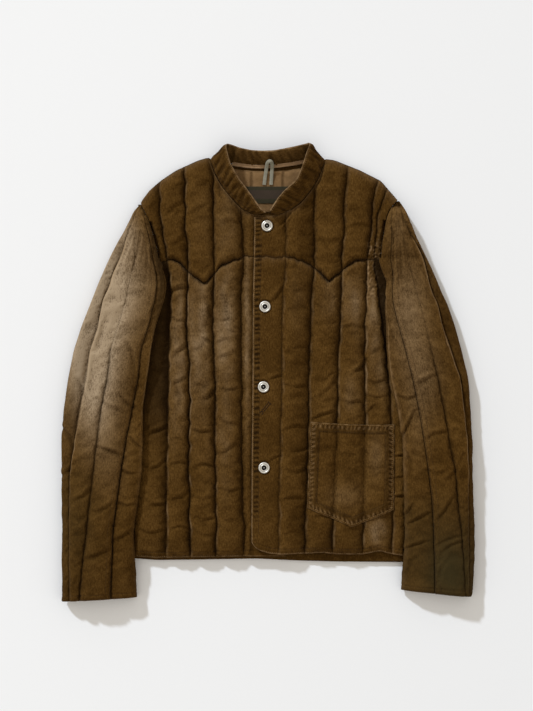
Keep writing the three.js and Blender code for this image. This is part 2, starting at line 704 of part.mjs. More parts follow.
function sleeve(side, table, bodySide, cuffSlant) {
  const inward = side < 0 ? 1 : -1;
  const rows = table.map((row, r) => {
    const [y, outer, s1, s2, s3, edgeX] = row;
    const [, crown, ride, edge] = SLEEVE_SHAPE[r];
    // Down to the underarm the inner edge is sewn into the armhole.
    const limit = bodySide(y) - inward * ARMHOLE_GAP;
    const inner = r <= UNDERARM_ROW && (edgeX - limit) * inward > 0 ? limit : edgeX;
    const [l3, l2, l1] = [s3, s2, s1].map((x, n) => {
      const least = inner - inward * (n + 1) * LINE_ROOM;
      return (x - least) * inward > 0 ? least : x;
    });
    const rim = (outer - l1) * inward > -LINE_ROOM ? l1 - inward * LINE_ROOM : outer;
    const xs = [rim, mix(rim, l1, 0.5), l1, mix(l1, l2, 0.5), l2, mix(l2, l3, 0.5), l3, mix(l3, inner, 0.4), mix(l3, inner, 0.75), inner];
    const lift = xs.map((x) => along(RIDE, (x - bodySide(y)) * inward) * ride);
    const tops = [edge * 0.55, crown - 5, crown - 8, crown, crown - 6, crown, crown - 6.5, crown, crown - 1.5, edge];
    const scale = (n) => Math.min(tops[n], 0.5 * crown + 0.9 * Math.abs(xs[n] - outer) + (n === 0 ? 0 : 2));
    return xs.map((x, n) => {
      const low = n === 0 ? 1.5 : lift[n];
      const high = Math.max(scale(n), low + (n === 9 ? 9 : 15 - (n === 6 ? 5 : 0)));
      const top = n === 9 && ride === 0 ? edge : high;
      const slant = cuffSlant * (r === table.length - 1 ? 1 : r === table.length - 2 ? 0.5 : 0);
      return { x, y: y + slant * (x - mix(outer, inner, 0.5)), low, top, mid: r <= HEAD_ROWS ? HEAD_MIDDLE : low + 0.42 * (top - low) };
    });
  });
  const SEAM = 6;
  const name = side < 0 ? 'right' : 'left';
  const outward = side < 0 ? -1 : 1;
  // Under sleeve: the whole lower layer, folded up round the inner edge.
  const under = rows.map((cells) => [
    ...cells.map((c) => point(c.x, c.y, c.low)),
    ...cells.slice(SEAM).reverse().map((c) => point(c.x, c.y, c.top)),
    ...cells.slice(0, SEAM + 1).reverse().map((c) => point(c.x, c.y, c.mid)),
  ]);
  // Top sleeve: the upper layer, from the sewn seam to the outer fold.
  const upper = rows.map((cells) => {
    const used = cells.slice(0, SEAM + 1).map((c, n) => ({ ...c, x: c.x + (n === SEAM ? outward * 2 * GAP : 0) }));
    return [
      ...used.map((c) => point(c.x, c.y, c.mid + 2 * GAP)),
      ...[...used].reverse().map((c) => point(c.x, c.y, c.top)),
    ];
  });
  jacket.add(
    loft(`sleeve_${name}_under`, under, clothLight, 10),
    loft(`sleeve_${name}_top`, upper, cloth, SEAM + 1),
  );
}

sleeve(-1, SLEEVE_RIGHT_ROWS, (y) => along(RIGHT_FRONT_LINES, y, 0, 1), CUFF_SLANT_RIGHT);
sleeve(1, SLEEVE_LEFT_ROWS, (y) => along(LEFT_FRONT_LINES, y, 0, 7), CUFF_SLANT_LEFT);

// ---------------------------------------------------------------------- collar

// Stand collar: one band. Its middle surface runs from the neck seam to the
// free edge, with half of the wall on each side.
{
  const middles = COLLAR_STATIONS.map(([bx, by, bz, tx, ty, tz]) => [point(bx, by, bz), point(tx, ty, tz)]);
  const rings = middles.map(([base, top], n) => {
    const before = middles[Math.max(0, n - 1)], after = middles[Math.min(middles.length - 1, n + 1)];
    const travel = after[0].clone().add(after[1]).sub(before[0]).sub(before[1]).normalize();
    const rise = top.clone().sub(base).normalize();
    const inward = travel.cross(rise).normalize();
    const at = (share, depth) => base.clone().lerp(top, share).addScaledVector(inward, depth);
    const half = COLLAR_WALL / 2;
    return [
      at(0.04, -half), at(0.5, -half - COLLAR_SWELL), at(0.97, -half + 0.8),
      at(0.97, half - 0.8), at(0.5, half + COLLAR_SWELL), at(0.04, half),
    ];
  });
  jacket.add(loft('collar_band', rings, cloth));
}

// --------------------------------------------------------------------- buttons

BUTTONS.forEach(([name, x, y]) => {
  const profile = BUTTON_PROFILE.map(([radius, height]) => new THREE.Vector2(radius, height));
  const geometry = new THREE.LatheGeometry(profile, BUTTON_SIDES);
  geometry.rotateX(Math.PI / 2);
  const mesh = new THREE.Mesh(geometry, buttonMetal);
  mesh.name = name;
  mesh.position.set(x, y, EDGE_TOP + GAP + 0.1);
  jacket.add(mesh);
});

// The origin is under the middle of the whole outline.
const box = new THREE.Box3().setFromObject(jacket);
jacket.position.set(-(box.min.x + box.max.x) / 2, -(box.min.y + box.max.y) / 2, 0);
jacket.updateMatrixWorld(true);

export default jacket;
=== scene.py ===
# Quilted down jacket, laid flat, front up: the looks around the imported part.
# Lengths are in millimetres until a mesh is made, which is in metres.
# Many places are given in layout units (u to the right, v down): one unit is
# 1.67 mm on the surface, seen from a point 2803 mm above it.
import bpy
import math
import numpy as np
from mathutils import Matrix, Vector


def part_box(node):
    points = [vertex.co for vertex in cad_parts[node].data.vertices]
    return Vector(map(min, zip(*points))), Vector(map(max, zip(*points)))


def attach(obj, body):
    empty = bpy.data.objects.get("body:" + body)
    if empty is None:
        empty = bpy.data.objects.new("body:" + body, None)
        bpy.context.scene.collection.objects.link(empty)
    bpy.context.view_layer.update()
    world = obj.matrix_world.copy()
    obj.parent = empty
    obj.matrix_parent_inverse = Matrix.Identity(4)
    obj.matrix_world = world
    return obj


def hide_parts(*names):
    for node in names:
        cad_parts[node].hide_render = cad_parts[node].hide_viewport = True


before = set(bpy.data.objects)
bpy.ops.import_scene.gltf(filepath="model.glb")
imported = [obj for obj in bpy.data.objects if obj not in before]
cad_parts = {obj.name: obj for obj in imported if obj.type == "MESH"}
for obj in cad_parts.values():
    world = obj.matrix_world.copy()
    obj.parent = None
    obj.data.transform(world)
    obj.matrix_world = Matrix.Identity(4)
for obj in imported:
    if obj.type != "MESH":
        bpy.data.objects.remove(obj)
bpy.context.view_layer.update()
scene = bpy.context.scene

UNIT, EYE, CU, CV = 1.67, 2803.0, 266.5, 355.5
EYE_X, EYE_Y = -2.25, 28.75


def place(u, v, z):
    """Millimetres on the object of layout point (u, v) at height z."""
    f = 1 - z / EYE
    return (CU + (u - CU) * f - 268) * UNIT + 0.25, (372 - (CV + (v - CV) * f)) * UNIT + 1.20


# ---------------------------------------------------------------- camera, light

camera = bpy.data.cameras.new("camera")
camera.lens = 85
camera.sensor_width = 36
camera.clip_end = 50
eye = bpy.data.objects.new("camera", camera)
eye.location = (EYE_X / 1000, EYE_Y / 1000, EYE / 1000)
scene.collection.objects.link(eye)
scene.camera = eye

travel = Vector((27, -38, 0)).normalized() * math.cos(math.radians(28))
travel.z = -math.sin(math.radians(28))
lamp = bpy.data.lights.new("key", "SUN")
lamp.energy = 2.75
lamp.angle = math.radians(3.5)
lamp.color = (0.80, 0.885, 1.0)
key = bpy.data.objects.new("key", lamp)
key.rotation_euler = travel.to_track_quat("-Z", "Y").to_euler()
scene.collection.objects.link(key)

world = bpy.data.worlds.new("studio")
world.use_nodes = True
world.node_tree.nodes["Background"].inputs["Color"].default_value = (1.0, 0.95, 0.875, 1)
world.node_tree.nodes["Background"].inputs["Strength"].default_value = 0.72
scene.world = world
scene.view_settings.view_transform = "Standard"

# ---------------------------------------------------------------------- helpers


def noise(x, y, seed=0):
    """Smooth noise from about -0.7 to 0.7, one feature to a unit."""
    x, y = np.broadcast_arrays(np.asarray(x, float), np.asarray(y, float))
    xi, yi = np.floor(x).astype(np.int64), np.floor(y).astype(np.int64)
    xf, yf = x - xi, y - yi

    def grad(ix, iy):
        h = (ix * 374761393 + iy * 668265263 + seed * 974634777) & 0xFFFFFFFF
        h = ((h ^ (h >> 13)) * 1274126177) & 0xFFFFFFFF
        a = ((h ^ (h >> 16)) & 0xFFFF) / 65536 * 2 * np.pi
        return np.cos(a), np.sin(a)

    def corner(dx, dy):
        gx, gy = grad(xi + dx, yi + dy)
        return gx * (xf - dx) + gy * (yf - dy)

    a = xf * xf * xf * (xf * (xf * 6 - 15) + 10)
    b = yf * yf * yf * (yf * (yf * 6 - 15) + 10)
    low = corner(0, 0) * (1 - a) + corner(1, 0) * a
    high = corner(0, 1) * (1 - a) + corner(1, 1) * a
    return low * (1 - b) + high * b


def smooth01(t):
    t = np.clip(t, 0, 1)
    return t * t * (3 - 2 * t)


def line(points, soft=5.0):
    """Smooth function through (position, value) pairs."""
    a = np.array(sorted(points), float)
    at = np.arange(a[0, 0] - 60, a[-1, 0] + 60.5, 0.5)
    val = np.interp(at, a[:, 0], a[:, 1])
    lo, hi = at < a[0, 0], at > a[-1, 0]
    val[lo] = a[0, 1] + (at[lo] - a[0, 0]) * (a[1, 1] - a[0, 1]) / (a[1, 0] - a[0, 0])
    val[hi] = a[-1, 1] + (at[hi] - a[-1, 0]) * (a[-1, 1] - a[-2, 1]) / (a[-1, 0] - a[-2, 0])
    if soft:
        r = int(soft * 6)
        k = np.exp(-0.5 * (np.arange(-r, r + 1) * 0.5 / soft) ** 2)
        k /= k.sum()
        mid = (val.size - 1) / 2
        slope = (val[-1] - val[0]) / (val.size - 1)
        flat = val - slope * (np.arange(val.size) - mid)
        val = np.convolve(np.pad(flat, r, mode="edge"), k, "valid") + slope * (np.arange(val.size) - mid)
    return lambda x: np.interp(x, at, val)


def blur(a, n, axis):
    """a averaged over about n steps along an axis, twice."""
    if n < 1:
        return a
    for _ in range(2):
        pad = [(0, 0)] * a.ndim
        pad[axis] = (n, n)
        c = np.cumsum(np.pad(a, pad, mode="edge"), axis=axis)
        c = np.concatenate([np.zeros_like(np.take(c, [0], axis)), c], axis)
        w = 2 * n + 1
        hi = np.take(c, np.arange(w, c.shape[axis]), axis)
        lo = np.take(c, np.arange(0, c.shape[axis] - w), axis)
        a = (hi - lo) / w
    return a


def collect(n):
    return bpy.data.meshes.new(n)


def mesh_object(name, points, faces, facts, material, smooth=True):
    name = name + "_soft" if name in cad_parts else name
    """A mesh in metres from points in millimetres. facts are the numbers each
    point carries for its material."""
    mesh = collect(name)
    mesh.from_pydata((np.asarray(points, float) / 1000).tolist(), [], faces)
    for key, values in facts.items():
        values = np.asarray(values, np.float32)
        if values.ndim == 2:
            mesh.attributes.new(key, "FLOAT_VECTOR", "POINT").data.foreach_set("vector", values.ravel())
        else:
            mesh.attributes.new(key, "FLOAT", "POINT").data.foreach_set("value", values)
    mesh.polygons.foreach_set("use_smooth", [smooth] * len(mesh.polygons))
    mesh.materials.append(material)
    mesh.validate()
    mesh.update()
    ob = bpy.data.objects.new(name, mesh)
    scene.collection.objects.link(ob)
    return ob


def zip_chains(a, b):
    """Triangles between two chains of point numbers, each even along its run."""
    out, i, j = [], 0, 0
    while i < len(a) - 1 or j < len(b) - 1:
        if j == len(b) - 1 or (i < len(a) - 1 and (i + 1) / (len(a) - 1) <= (j + 1) / (len(b) - 1) + 1e-9):
            out.append((a[i], a[i + 1], b[j]))
            i += 1
        else:
            out.append((a[i], b[j + 1], b[j]))
            j += 1
    return out


def shell(name, outer, inner, facts, material, inner_facts=None):
    """Closed piece between an outer and an inner grid (rows x columns x 3).
    They may differ in fineness, and are joined along their four sides."""
    def numbered(g, start):
        return start + np.arange(g.shape[0] * g.shape[1]).reshape(g.shape[:2])
    no, ni = numbered(outer, 0), numbered(inner, outer.shape[0] * outer.shape[1])

    def quads(n, flip):
        a, b, c, d = n[:-1, :-1].ravel(), n[:-1, 1:].ravel(), n[1:, 1:].ravel(), n[1:, :-1].ravel()
        q = np.stack([a, d, c, b] if flip else [a, b, c, d], 1)
        return q.tolist()
    faces = quads(no, True) + quads(ni, False)

    def sides(n):
        return [n[:, 0].tolist(), n[-1, :].tolist(), n[::-1, -1].tolist(), n[0, ::-1].tolist()]
    for a, b in zip(sides(no), sides(ni)):
        faces += [t[::-1] for t in zip_chains(a, b)]
    points = np.concatenate([outer.reshape(-1, 3), inner.reshape(-1, 3)])
    every = {}
    count = inner.shape[0] * inner.shape[1]
    for k, values in facts.items():
        values = np.asarray(values, float)
        values = values.reshape(-1, 3) if values.ndim == 3 else values.reshape(-1)
        if k == "grain":
            more = np.stack([inner[..., 0], inner[..., 1], inner[..., 2]], -1).reshape(-1, 3) / 1000
        else:
            more = np.full(count, float((inner_facts or {}).get(k, 0)))
        every[k] = np.concatenate([values, more])
    return mesh_object(name, points, faces, every, material)


def relief_shade(z, n_rows, n_cols):
    """How far the cloth stands over (+) or under (-) what is round it, -1 to 1; the materials turn it into painted
    shade in hollows and painted highlight on crowns.
    """
    local = blur(blur(z, n_rows, 0), n_cols, 1)
    return np.clip((z - local) / 1.6, -1.3, 1.0)


class Raster:
    """Height of a piece over the layout, for what lies on it."""

    def __init__(self, u, v, z, cell=1.2):
        self.cell = cell
        self.u0, self.v0 = u.min() - 4, v.min() - 4
        w, h = int((u.max() - self.u0) / cell) + 6, int((v.max() - self.v0) / cell) + 6
        i, j = ((v - self.v0) / cell + 0.5).astype(int).ravel(), ((u - self.u0) / cell + 0.5).astype(int).ravel()
        total, count = np.zeros((h, w)), np.zeros((h, w))
        np.add.at(total, (i, j), z.ravel())
        np.add.at(count, (i, j), 1)
        for _ in range(6):
            empty = count == 0
            if not empty.any():
                break
            t, c = np.zeros_like(total), np.zeros_like(count)
            for di, dj in ((0, 1), (1, 0), (0, -1), (-1, 0)):
                t += np.roll(np.where(count > 0, total / np.maximum(count, 1), 0), (di, dj), (0, 1))
                c += np.roll((count > 0).astype(float), (di, dj), (0, 1))
            fill = empty & (c > 0)
            total[fill], count[fill] = t[fill] / c[fill], 1
        self.z = np.where(count > 0, total / np.maximum(count, 1), z.mean())

    def at(self, u, v):
        x = np.clip((np.asarray(u, float) - self.u0) / self.cell, 0, self.z.shape[1] - 1.001)
        y = np.clip((np.asarray(v, float) - self.v0) / self.cell, 0, self.z.shape[0] - 1.001)
        i, j = y.astype(int), x.astype(int)
        fy, fx = y - i, x - j
        z = self.z
        return (z[i, j] * (1 - fx) + z[i, j + 1] * fx) * (1 - fy) + (z[i + 1, j] * (1 - fx) + z[i + 1, j + 1] * fx) * fy


# --------------------------------------------------------------------- materials


def new_material(name):
    m = bpy.data.materials.new(name)
    m.use_nodes = True
    return m, m.node_tree, m.node_tree.nodes, m.node_tree.links, m.node_tree.nodes["Principled BSDF"]


def srgb(r, g, b):
    return tuple((c / 255 / 12.92 if c / 255 <= 0.04045 else ((c / 255 + 0.055) / 1.055) ** 2.4) for c in (r, g, b)) + (1,)


class Nodes:
    """Short ways to add nodes."""

    def __init__(self, tree):
        self.t, self.n, self.l = tree, tree.nodes, tree.links

    def put(self, socket, value):
        if isinstance(value, bpy.types.NodeSocket):
            self.l.new(value, socket)
        else:
            socket.default_value = value

    def fact(self, name, out="Fac"):
        a = self.n.new("ShaderNodeAttribute")
        a.attribute_name = name
        return a.outputs[out]

    def math(self, op, a, b=0.0, c=0.0, clamp=False):
        m = self.n.new("ShaderNodeMath")
        m.operation, m.use_clamp = op, clamp
        for s, x in zip(m.inputs, (a, b, c)):
            self.put(s, x)
        return m.outputs[0]

    def mix(self, fac, a, b, blend="MIX"):
        m = self.n.new("ShaderNodeMix")
        m.data_type, m.blend_type = "RGBA", blend
        m.clamp_factor = True
        for s, x in ((m.inputs[0], fac), (m.inputs[6], a), (m.inputs[7], b)):
            self.put(s, x)
        return m.outputs[2]

    def noise(self, vector, scale, detail=2.0, rough=0.5, stretch=None):
        if stretch:
            mp = self.n.new("ShaderNodeMapping")
            self.l.new(vector, mp.inputs[0])
            mp.inputs["Scale"].default_value = stretch
            vector = mp.outputs[0]
        x = self.n.new("ShaderNodeTexNoise")
        self.l.new(vector, x.inputs["Vector"])
        x.inputs["Scale"].default_value = scale
        x.inputs["Detail"].default_value = detail
        x.inputs["Roughness"].default_value = rough
        return x.outputs["Fac"]

    def wave(self, vector, scale, direction="X", distortion=0.0, profile="SIN"):
        x = self.n.new("ShaderNodeTexWave")
        x.bands_direction, x.wave_profile = direction, profile
        self.l.new(vector, x.inputs["Vector"])
        x.inputs["Scale"].default_value = scale
        x.inputs["Distortion"].default_value = distortion
        x.inputs["Detail"].default_value = 1.0
        x.inputs["Detail Scale"].default_value = 1.5
        return x.outputs["Fac"]

    def bump(self, height, strength, distance, after=None):
        b = self.n.new("ShaderNodeBump")
        b.inputs["Strength"].default_value = strength
        b.inputs["Distance"].default_value = distance
        self.l.new(height, b.inputs["Height"])
        if after is not None:
            self.l.new(after, b.inputs["Normal"])
        return b.outputs["Normal"]


def jacket_cloth(name, deep, base, light, pale_and_highlight, warm, dusty, green=None, rib=1.0):
    """Garment-dyed cotton with a fine upright cord: darker where dye sits in the
    seams and with painted shade in hollows and shaded places, lighter on worn
    edges and faded crowns, with painted highlight on crowns and lit edges,
    mottled all over."""
    m, tree, nodes, links, p = new_material(name)
    n = Nodes(tree)
    grain = n.fact("grain", "Vector")
    up = n.fact("relief_shade")
    mottle = n.noise(grain, 60, 3, 0.6)
    cloud = n.noise(grain, 13, 2, 0.5)
    streak = n.noise(grain, 1, 2, 0.6, stretch=(560, 150, 150))
    fleck = n.noise(grain, 1, 1, 0.6, stretch=(480, 330, 330))
    # how light the dye is here, about 0.5, with painted shade in hollows and painted highlight on crowns from the
    # relief
    f = n.math("MULTIPLY_ADD", up, 0.10, 0.50)
    f = n.math("ADD", f, n.math("MULTIPLY", n.math("SUBTRACT", mottle, 0.5), 0.42))
    f = n.math("ADD", f, n.math("MULTIPLY", n.math("SUBTRACT", cloud, 0.5), 0.55))
    f = n.math("ADD", f, n.math("MULTIPLY", n.math("SUBTRACT", streak, 0.5), 0.85))
    f = n.math("ADD", f, n.math("MULTIPLY", n.math("SUBTRACT", fleck, 0.5), 0.62))
    ramp = nodes.new("ShaderNodeValToRGB")
    ramp.color_ramp.elements[0].position, ramp.color_ramp.elements[0].color = 0.08, deep
    ramp.color_ramp.elements[1].position, ramp.color_ramp.elements[1].color = 0.95, light
    mid = ramp.color_ramp.elements.new(0.5)
    mid.color = base
    links.new(f, ramp.inputs[0])
    col = ramp.outputs[0]
    # faded paleness, partly painted light: less on the channel sides away from the lamp, more on the shaded inner face
    # of the collar
    fade = n.fact("fade")
    dusted = n.math("MULTIPLY", fade, n.math("ADD", -0.15, n.math("MULTIPLY", f, 2.3)), clamp=True)
    col = n.mix(dusted, col, n.mix(n.math("MULTIPLY", fade, 1.3, clamp=True), warm, dusty))
    # rub wear, and painted highlight along lit channel edges and pucker ridges
    rub = n.math("MULTIPLY", n.fact("pale_and_highlight"), n.math("ADD", 0.55, n.math("MULTIPLY", streak, 0.8)), clamp=True)
    col = n.mix(rub, col, pale_and_highlight)
    if green is not None:
        col = n.mix(n.math("MULTIPLY", n.fact("green"), 0.85, clamp=True), col, green, "MIX")
    # dye in the seams, and painted shade in hollows, gaps and sides that face away from the lamp
    dye_and_painted_shade = n.math("MULTIPLY", n.fact("dye_and_painted_shade"), 0.8, clamp=True)
    col = n.mix(dye_and_painted_shade, col, srgb(24, 13, 3))
    links.new(col, p.inputs["Base Color"])
    p.inputs["Roughness"].default_value = 0.93
    p.inputs["Specular IOR Level"].default_value = 0.03
    p.inputs["Sheen Weight"].default_value = 0.008
    p.inputs["Sheen Roughness"].default_value = 0.5
    cord = n.wave(grain, 0.31 * 780 * rib, "X", 1.2)
    body = n.math("ADD", n.math("MULTIPLY", cord, 0.5), n.math("MULTIPLY", streak, 1.1))
    body = n.math("ADD", body, n.math("MULTIPLY", fleck, 0.7))
    nrm = n.bump(body, 0.55, 0.0006)
    nrm = n.bump(n.noise(grain, 150, 3, 0.6, stretch=(1, 0.6, 1)), 0.5, 0.0012, nrm)
    links.new(nrm, p.inputs["Normal"])
    return m


shade = srgb(44, 27, 6)
brown = jacket_cloth("brown_cloth", srgb(42, 25, 4), srgb(69, 46, 15), srgb(97, 69, 31),
                     srgb(158, 128, 92), srgb(128, 98, 58), srgb(158, 137, 110), green=srgb(52, 46, 26))


def plain_cloth(name, dark, light, scale=900.0, twill=False, rough=0.85, pale=None):
    m, tree, nodes, links, p = new_material(name)
    n = Nodes(tree)
    grain = n.fact("grain", "Vector")
    yarn_x = n.wave(grain, 0.31 * scale, "X", 0.6)
    yarn_y = n.wave(grain, 0.31 * scale, "DIAGONAL" if twill else "Y", 0.6)
    weave = n.math("MULTIPLY", yarn_x, yarn_y)
    spots = n.noise(grain, 130, 3, 0.6)
    f = n.math("ADD", n.math("MULTIPLY", weave, 0.5), n.math("MULTIPLY", spots, 0.7))
    # painted shade in hollows and painted highlight on raised parts, from the relief
    f = n.math("ADD", f, n.math("MULTIPLY", n.fact("relief_shade"), 0.3), clamp=True)
    col = n.mix(f, dark, light)
    if pale is not None:
        col = n.mix(n.math("MULTIPLY", n.fact("pale_and_highlight"), 1.0, clamp=True), col, pale)
    links.new(col, p.inputs["Base Color"])
    p.inputs["Roughness"].default_value = rough
    p.inputs["Specular IOR Level"].default_value = 0.2
    nrm = n.bump(weave, 0.6, 0.0004)
    nrm = n.bump(spots, 0.4, 0.0008, nrm)
    links.new(nrm, p.inputs["Normal"])
    return m


lining_cloth = plain_cloth("lining_cloth", srgb(84, 60, 30), srgb(150, 116, 76), 1100)
tape_cloth = plain_cloth("tape_cloth", srgb(136, 106, 74), srgb(186, 152, 116), 900, True)
loop_cloth = plain_cloth("loop_cloth", srgb(100, 98, 84), srgb(172, 166, 146), 1000, True)
label_cloth = plain_cloth("label_cloth", srgb(42, 37, 23), srgb(66, 60, 40), 1500, pale=srgb(68, 54, 44))
thread_light = plain_cloth("thread_light", srgb(112, 84, 48), srgb(158, 128, 88), 2400, True)
thread_dark = plain_cloth("thread_dark", srgb(48, 30, 10), srgb(76, 52, 24), 2400, True)

# ------------------------------------------------------------------ body layout
# Sewn quilt lines, from the wearer's right side to the left: v, u.

SIDE_R = line([(203, 140.2), (209, 143.2), (220, 149), (240, 155), (262, 160), (290, 152), (320, 147), (350, 143), (395, 139), (440, 136), (485, 134.5), (530, 133), (556, 133)], 3)
A = line([(158, 158), (200, 159.5), (230, 162), (260, 167), (290, 170.5), (320, 170), (350, 169), (395, 168), (440, 167), (485, 166.5), (556, 166)])
B = line([(158, 184), (200, 185), (230, 186), (260, 188), (290, 187), (320, 186.5), (350, 188.5), (395, 190), (440, 189), (485, 189), (556, 190)])
C = line([(158, 212.5), (170, 213.5), (230, 213.5), (260, 214.5), (290, 214), (320, 213), (350, 214), (395, 216), (440, 215), (485, 216), (556, 216)])
Dl = line([(200, 241), (230, 241.5), (260, 244), (290, 241), (395, 241), (440, 241.5), (485, 242), (530, 243.5), (556, 244)])
EDGE = line([(215, 254.5), (260, 254), (300, 253), (350, 252.8), (395, 252.5), (440, 252), (485, 251.7), (530, 251.4), (556, 252)])
E = line([(215, 286), (260, 286), (290, 283), (320, 282), (350, 282), (395, 281.5), (440, 280.5), (485, 279), (530, 279), (556, 278)])
F = line([(200, 315), (230, 314.5), (260, 315), (290, 312.5), (320, 310.7), (350, 310), (395, 309.3), (440, 308.5), (485, 307), (530, 305.5), (556, 305)])
G = line([(170, 348), (200, 345), (230, 344), (260, 342), (290, 342), (320, 341), (350, 339), (395, 338), (440, 337.5), (485, 335), (530, 333), (556, 333)])
H = line([(185, 377), (200, 373), (230, 371), (260, 367), (290, 367), (320, 365), (350, 365), (395, 365.5), (440, 364.7), (485, 364), (556, 363)])
I = line([(200, 383), (215, 377.5), (232, 377.5), (262, 374.5), (290, 378), (320, 382), (350, 386), (395, 391), (440, 392), (556, 392)], 3)
SIDE_L = line([(200, 397.5), (208, 390.5), (217, 386.5), (232, 384), (245, 381.5), (262, 380.5), (290, 390), (320, 396), (350, 400), (395, 405), (440, 407), (485, 407.5), (530, 406), (556, 404)], 3)
UNDER = line([(150, 286), (560, 286)])

# Edges given as v over u.
TOP_R = line([(139.5, 205.5), (142.0, 200), (149.4, 190), (161, 180.5), (176, 170.5), (198, 160.5), (208.7, 157.4), (214.1, 173.1), (221.6, 186.4), (233.2, 200.5), (241.5, 208.8), (251.4, 213.7), (261.4, 215.2), (286, 215.8)], 0.6)
TOP_L = line([(250, 216.8), (262, 217.2), (268, 216.7), (279.6, 213.9), (291.2, 210.4), (301.2, 203), (311.9, 189.7), (320.2, 176.4), (326, 159), (334.6, 160.3), (360, 170.3), (381, 181), (389, 190.3), (397.5, 200)], 0.6)
TOP_B = line([(142, 205), (143.5, 200), (150, 190), (161, 180.5), (176, 170.5), (198, 160.5), (208.7, 157.4), (213, 161.2), (222, 164.2), (232, 166.5), (247, 168.5), (262.5, 169), (278, 168.2), (291, 166.5), (303, 164.5), (312, 162.7), (321, 161), (326, 159), (334.6, 160.3), (360, 170.3), (381, 181), (389, 190.3), (397.5, 200)], 0.8)
YOKE_R = line([(155, 261.5), (160, 262), (173, 259), (181, 263), (190.4, 274.3), (203.7, 284.5), (216, 272), (222, 265), (232, 260.5), (244, 257), (254.7, 256), (290, 256)], 1.0)
YOKE_L = line([(250, 257), (260, 257), (287.6, 257.6), (296, 259), (306, 263), (315, 268), (328.9, 281.7), (345, 268), (356.4, 259.9), (369, 258.7), (381, 258), (400, 258)], 1.0)
_yr, _yl = YOKE_R, YOKE_L
YOKE_R = lambda u: _yr(u) + 1.5 * noise(u / 5.2, 0.5, 5) + 1.1 * noise(u / 2.9, 0.5, 6)
YOKE_L = lambda u: _yl(u) + 1.5 * noise(u / 5.2, 0.5, 7) + 1.1 * noise(u / 2.9, 0.5, 8)
HEM_R = line([(130, 557), (133, 557), (157, 558.5), (191, 557.8), (217, 557.5), (249, 556.8), (290, 556.5)], 2)
HEM_L = line([(251, 541), (252, 543.5), (255, 547.5), (259.6, 550.5), (269, 553.4), (278.7, 554.4), (307, 554.2), (322, 553.2), (336, 554.8), (363, 555), (380, 551.5), (393.5, 555), (405, 556.5)], 1.2)
HEM_B = line([(130, 558), (157, 560), (200, 559.5), (257, 558.5), (298, 560.5), (336, 561.5), (374, 561.8), (406, 562)], 2)

SEAM, BACK_TOP, CROWN = 9.9, 7.0, 12.6
UNDER_TOP, EDGE_TOP = 15.6, 21.0


def spread(n, even=0.45):
    """n + 1 places from 0 to 1, closer together at both ends."""
    s = np.linspace(0, 1, n + 1)
    return even * s + (1 - even) * (0.5 - 0.5 * np.cos(np.pi * s))


class Panel:
    """Grid of a panel between sewn lines (functions of v) and a top and bottom
    edge (functions of u). Columns lie along the lines."""

    def __init__(self, lines, cuts, top, bottom, rows, side=None):
        ks, ts = [], []
        for k, n in enumerate(cuts):
            t = spread(n)
            last = k == len(cuts) - 1
            ks += [k] * (n + (1 if last else 0))
            ts += list(t if last else t[:-1])
        self.k, self.t = np.array(ks), np.array(ts)
        self.lines = lines

        def at(v):
            val = np.stack([l(v) for l in lines])
            idx = np.arange(len(self.k))
            pick = (lambda k: val[k, :, idx].T) if v.ndim == 2 else (lambda k: val[k, idx])
            return pick(self.k) * (1 - self.t) + pick(self.k + 1) * self.t
        self.at = at
        vt, vb = np.full(len(ks), 230.0), np.full(len(ks), 500.0)
        for _ in range(30):
            vt = 0.4 * vt + 0.6 * top(at(vt))
            vb = 0.4 * vb + 0.6 * bottom(at(vb))
        if side:  # the top of a column along a side
            for col, v in side.items():
                vt[col] = v
        s = spread(rows, 0.75)[:, None]
        self.s = s
        self.v = vt + (vb - vt) * s
        self.u = at(self.v)
        width = []
        for k in range(len(cuts)):
            width.append(lines[k + 1](self.v) - lines[k](self.v))
        w = np.stack(width)
        idx = np.arange(len(self.k))
        self.width = w[self.k, :, idx].T * UNIT
        self.from_top = (self.v - vt) * UNIT
        self.from_bottom = (vb - self.v) * UNIT
        self.off = np.minimum(self.t, 1 - self.t) * self.width  # from the nearest line
        self.nearest = self.k + (self.t > 0.5)


def crease(z, u, v, run, depth, width, ridge=0.5, side=1):
    """Soft fold line through layout points: a trough with a ridge on one side."""
    run = [(float(a), float(b)) for a, b in run]
    best = np.full(z.shape, 1e9)
    signed = np.zeros(z.shape)
    taper = np.zeros(z.shape)
    total = sum(math.dist(run[i], run[i + 1]) for i in range(len(run) - 1))
    gone = 0.0
    for (u0, v0), (u1, v1) in zip(run[:-1], run[1:]):
        du, dv = u1 - u0, v1 - v0
        length = math.hypot(du, dv)
        s = np.clip(((u - u0) * du + (v - v0) * dv) / length ** 2, 0, 1)
        d = np.hypot(u - u0 - s * du, v - v0 - s * dv) * UNIT
        sd = ((u - u0) * dv - (v - v0) * du) / length * UNIT
        share = (gone + s * length) / total
        use = d < best
        best = np.where(use, d, best)
        signed = np.where(use, np.sign(sd) * d, signed)
        taper = np.where(use, np.sin(np.pi * np.clip(0.12 + 0.76 * share, 0, 1)) ** 0.8, taper)
        gone += length
    z = z - depth * taper * np.exp(-(best / width) ** 2)
    if ridge:
        z = z + ridge * depth * taper * np.exp(-((side * signed - 1.9 * width) / (1.3 * width)) ** 2) * (best < 5 * width)
    return z


def channel_profile(t, p=2.35, q=0.5):
    return np.clip(1 - np.abs(2 * t - 1) ** p, 0, 1) ** q


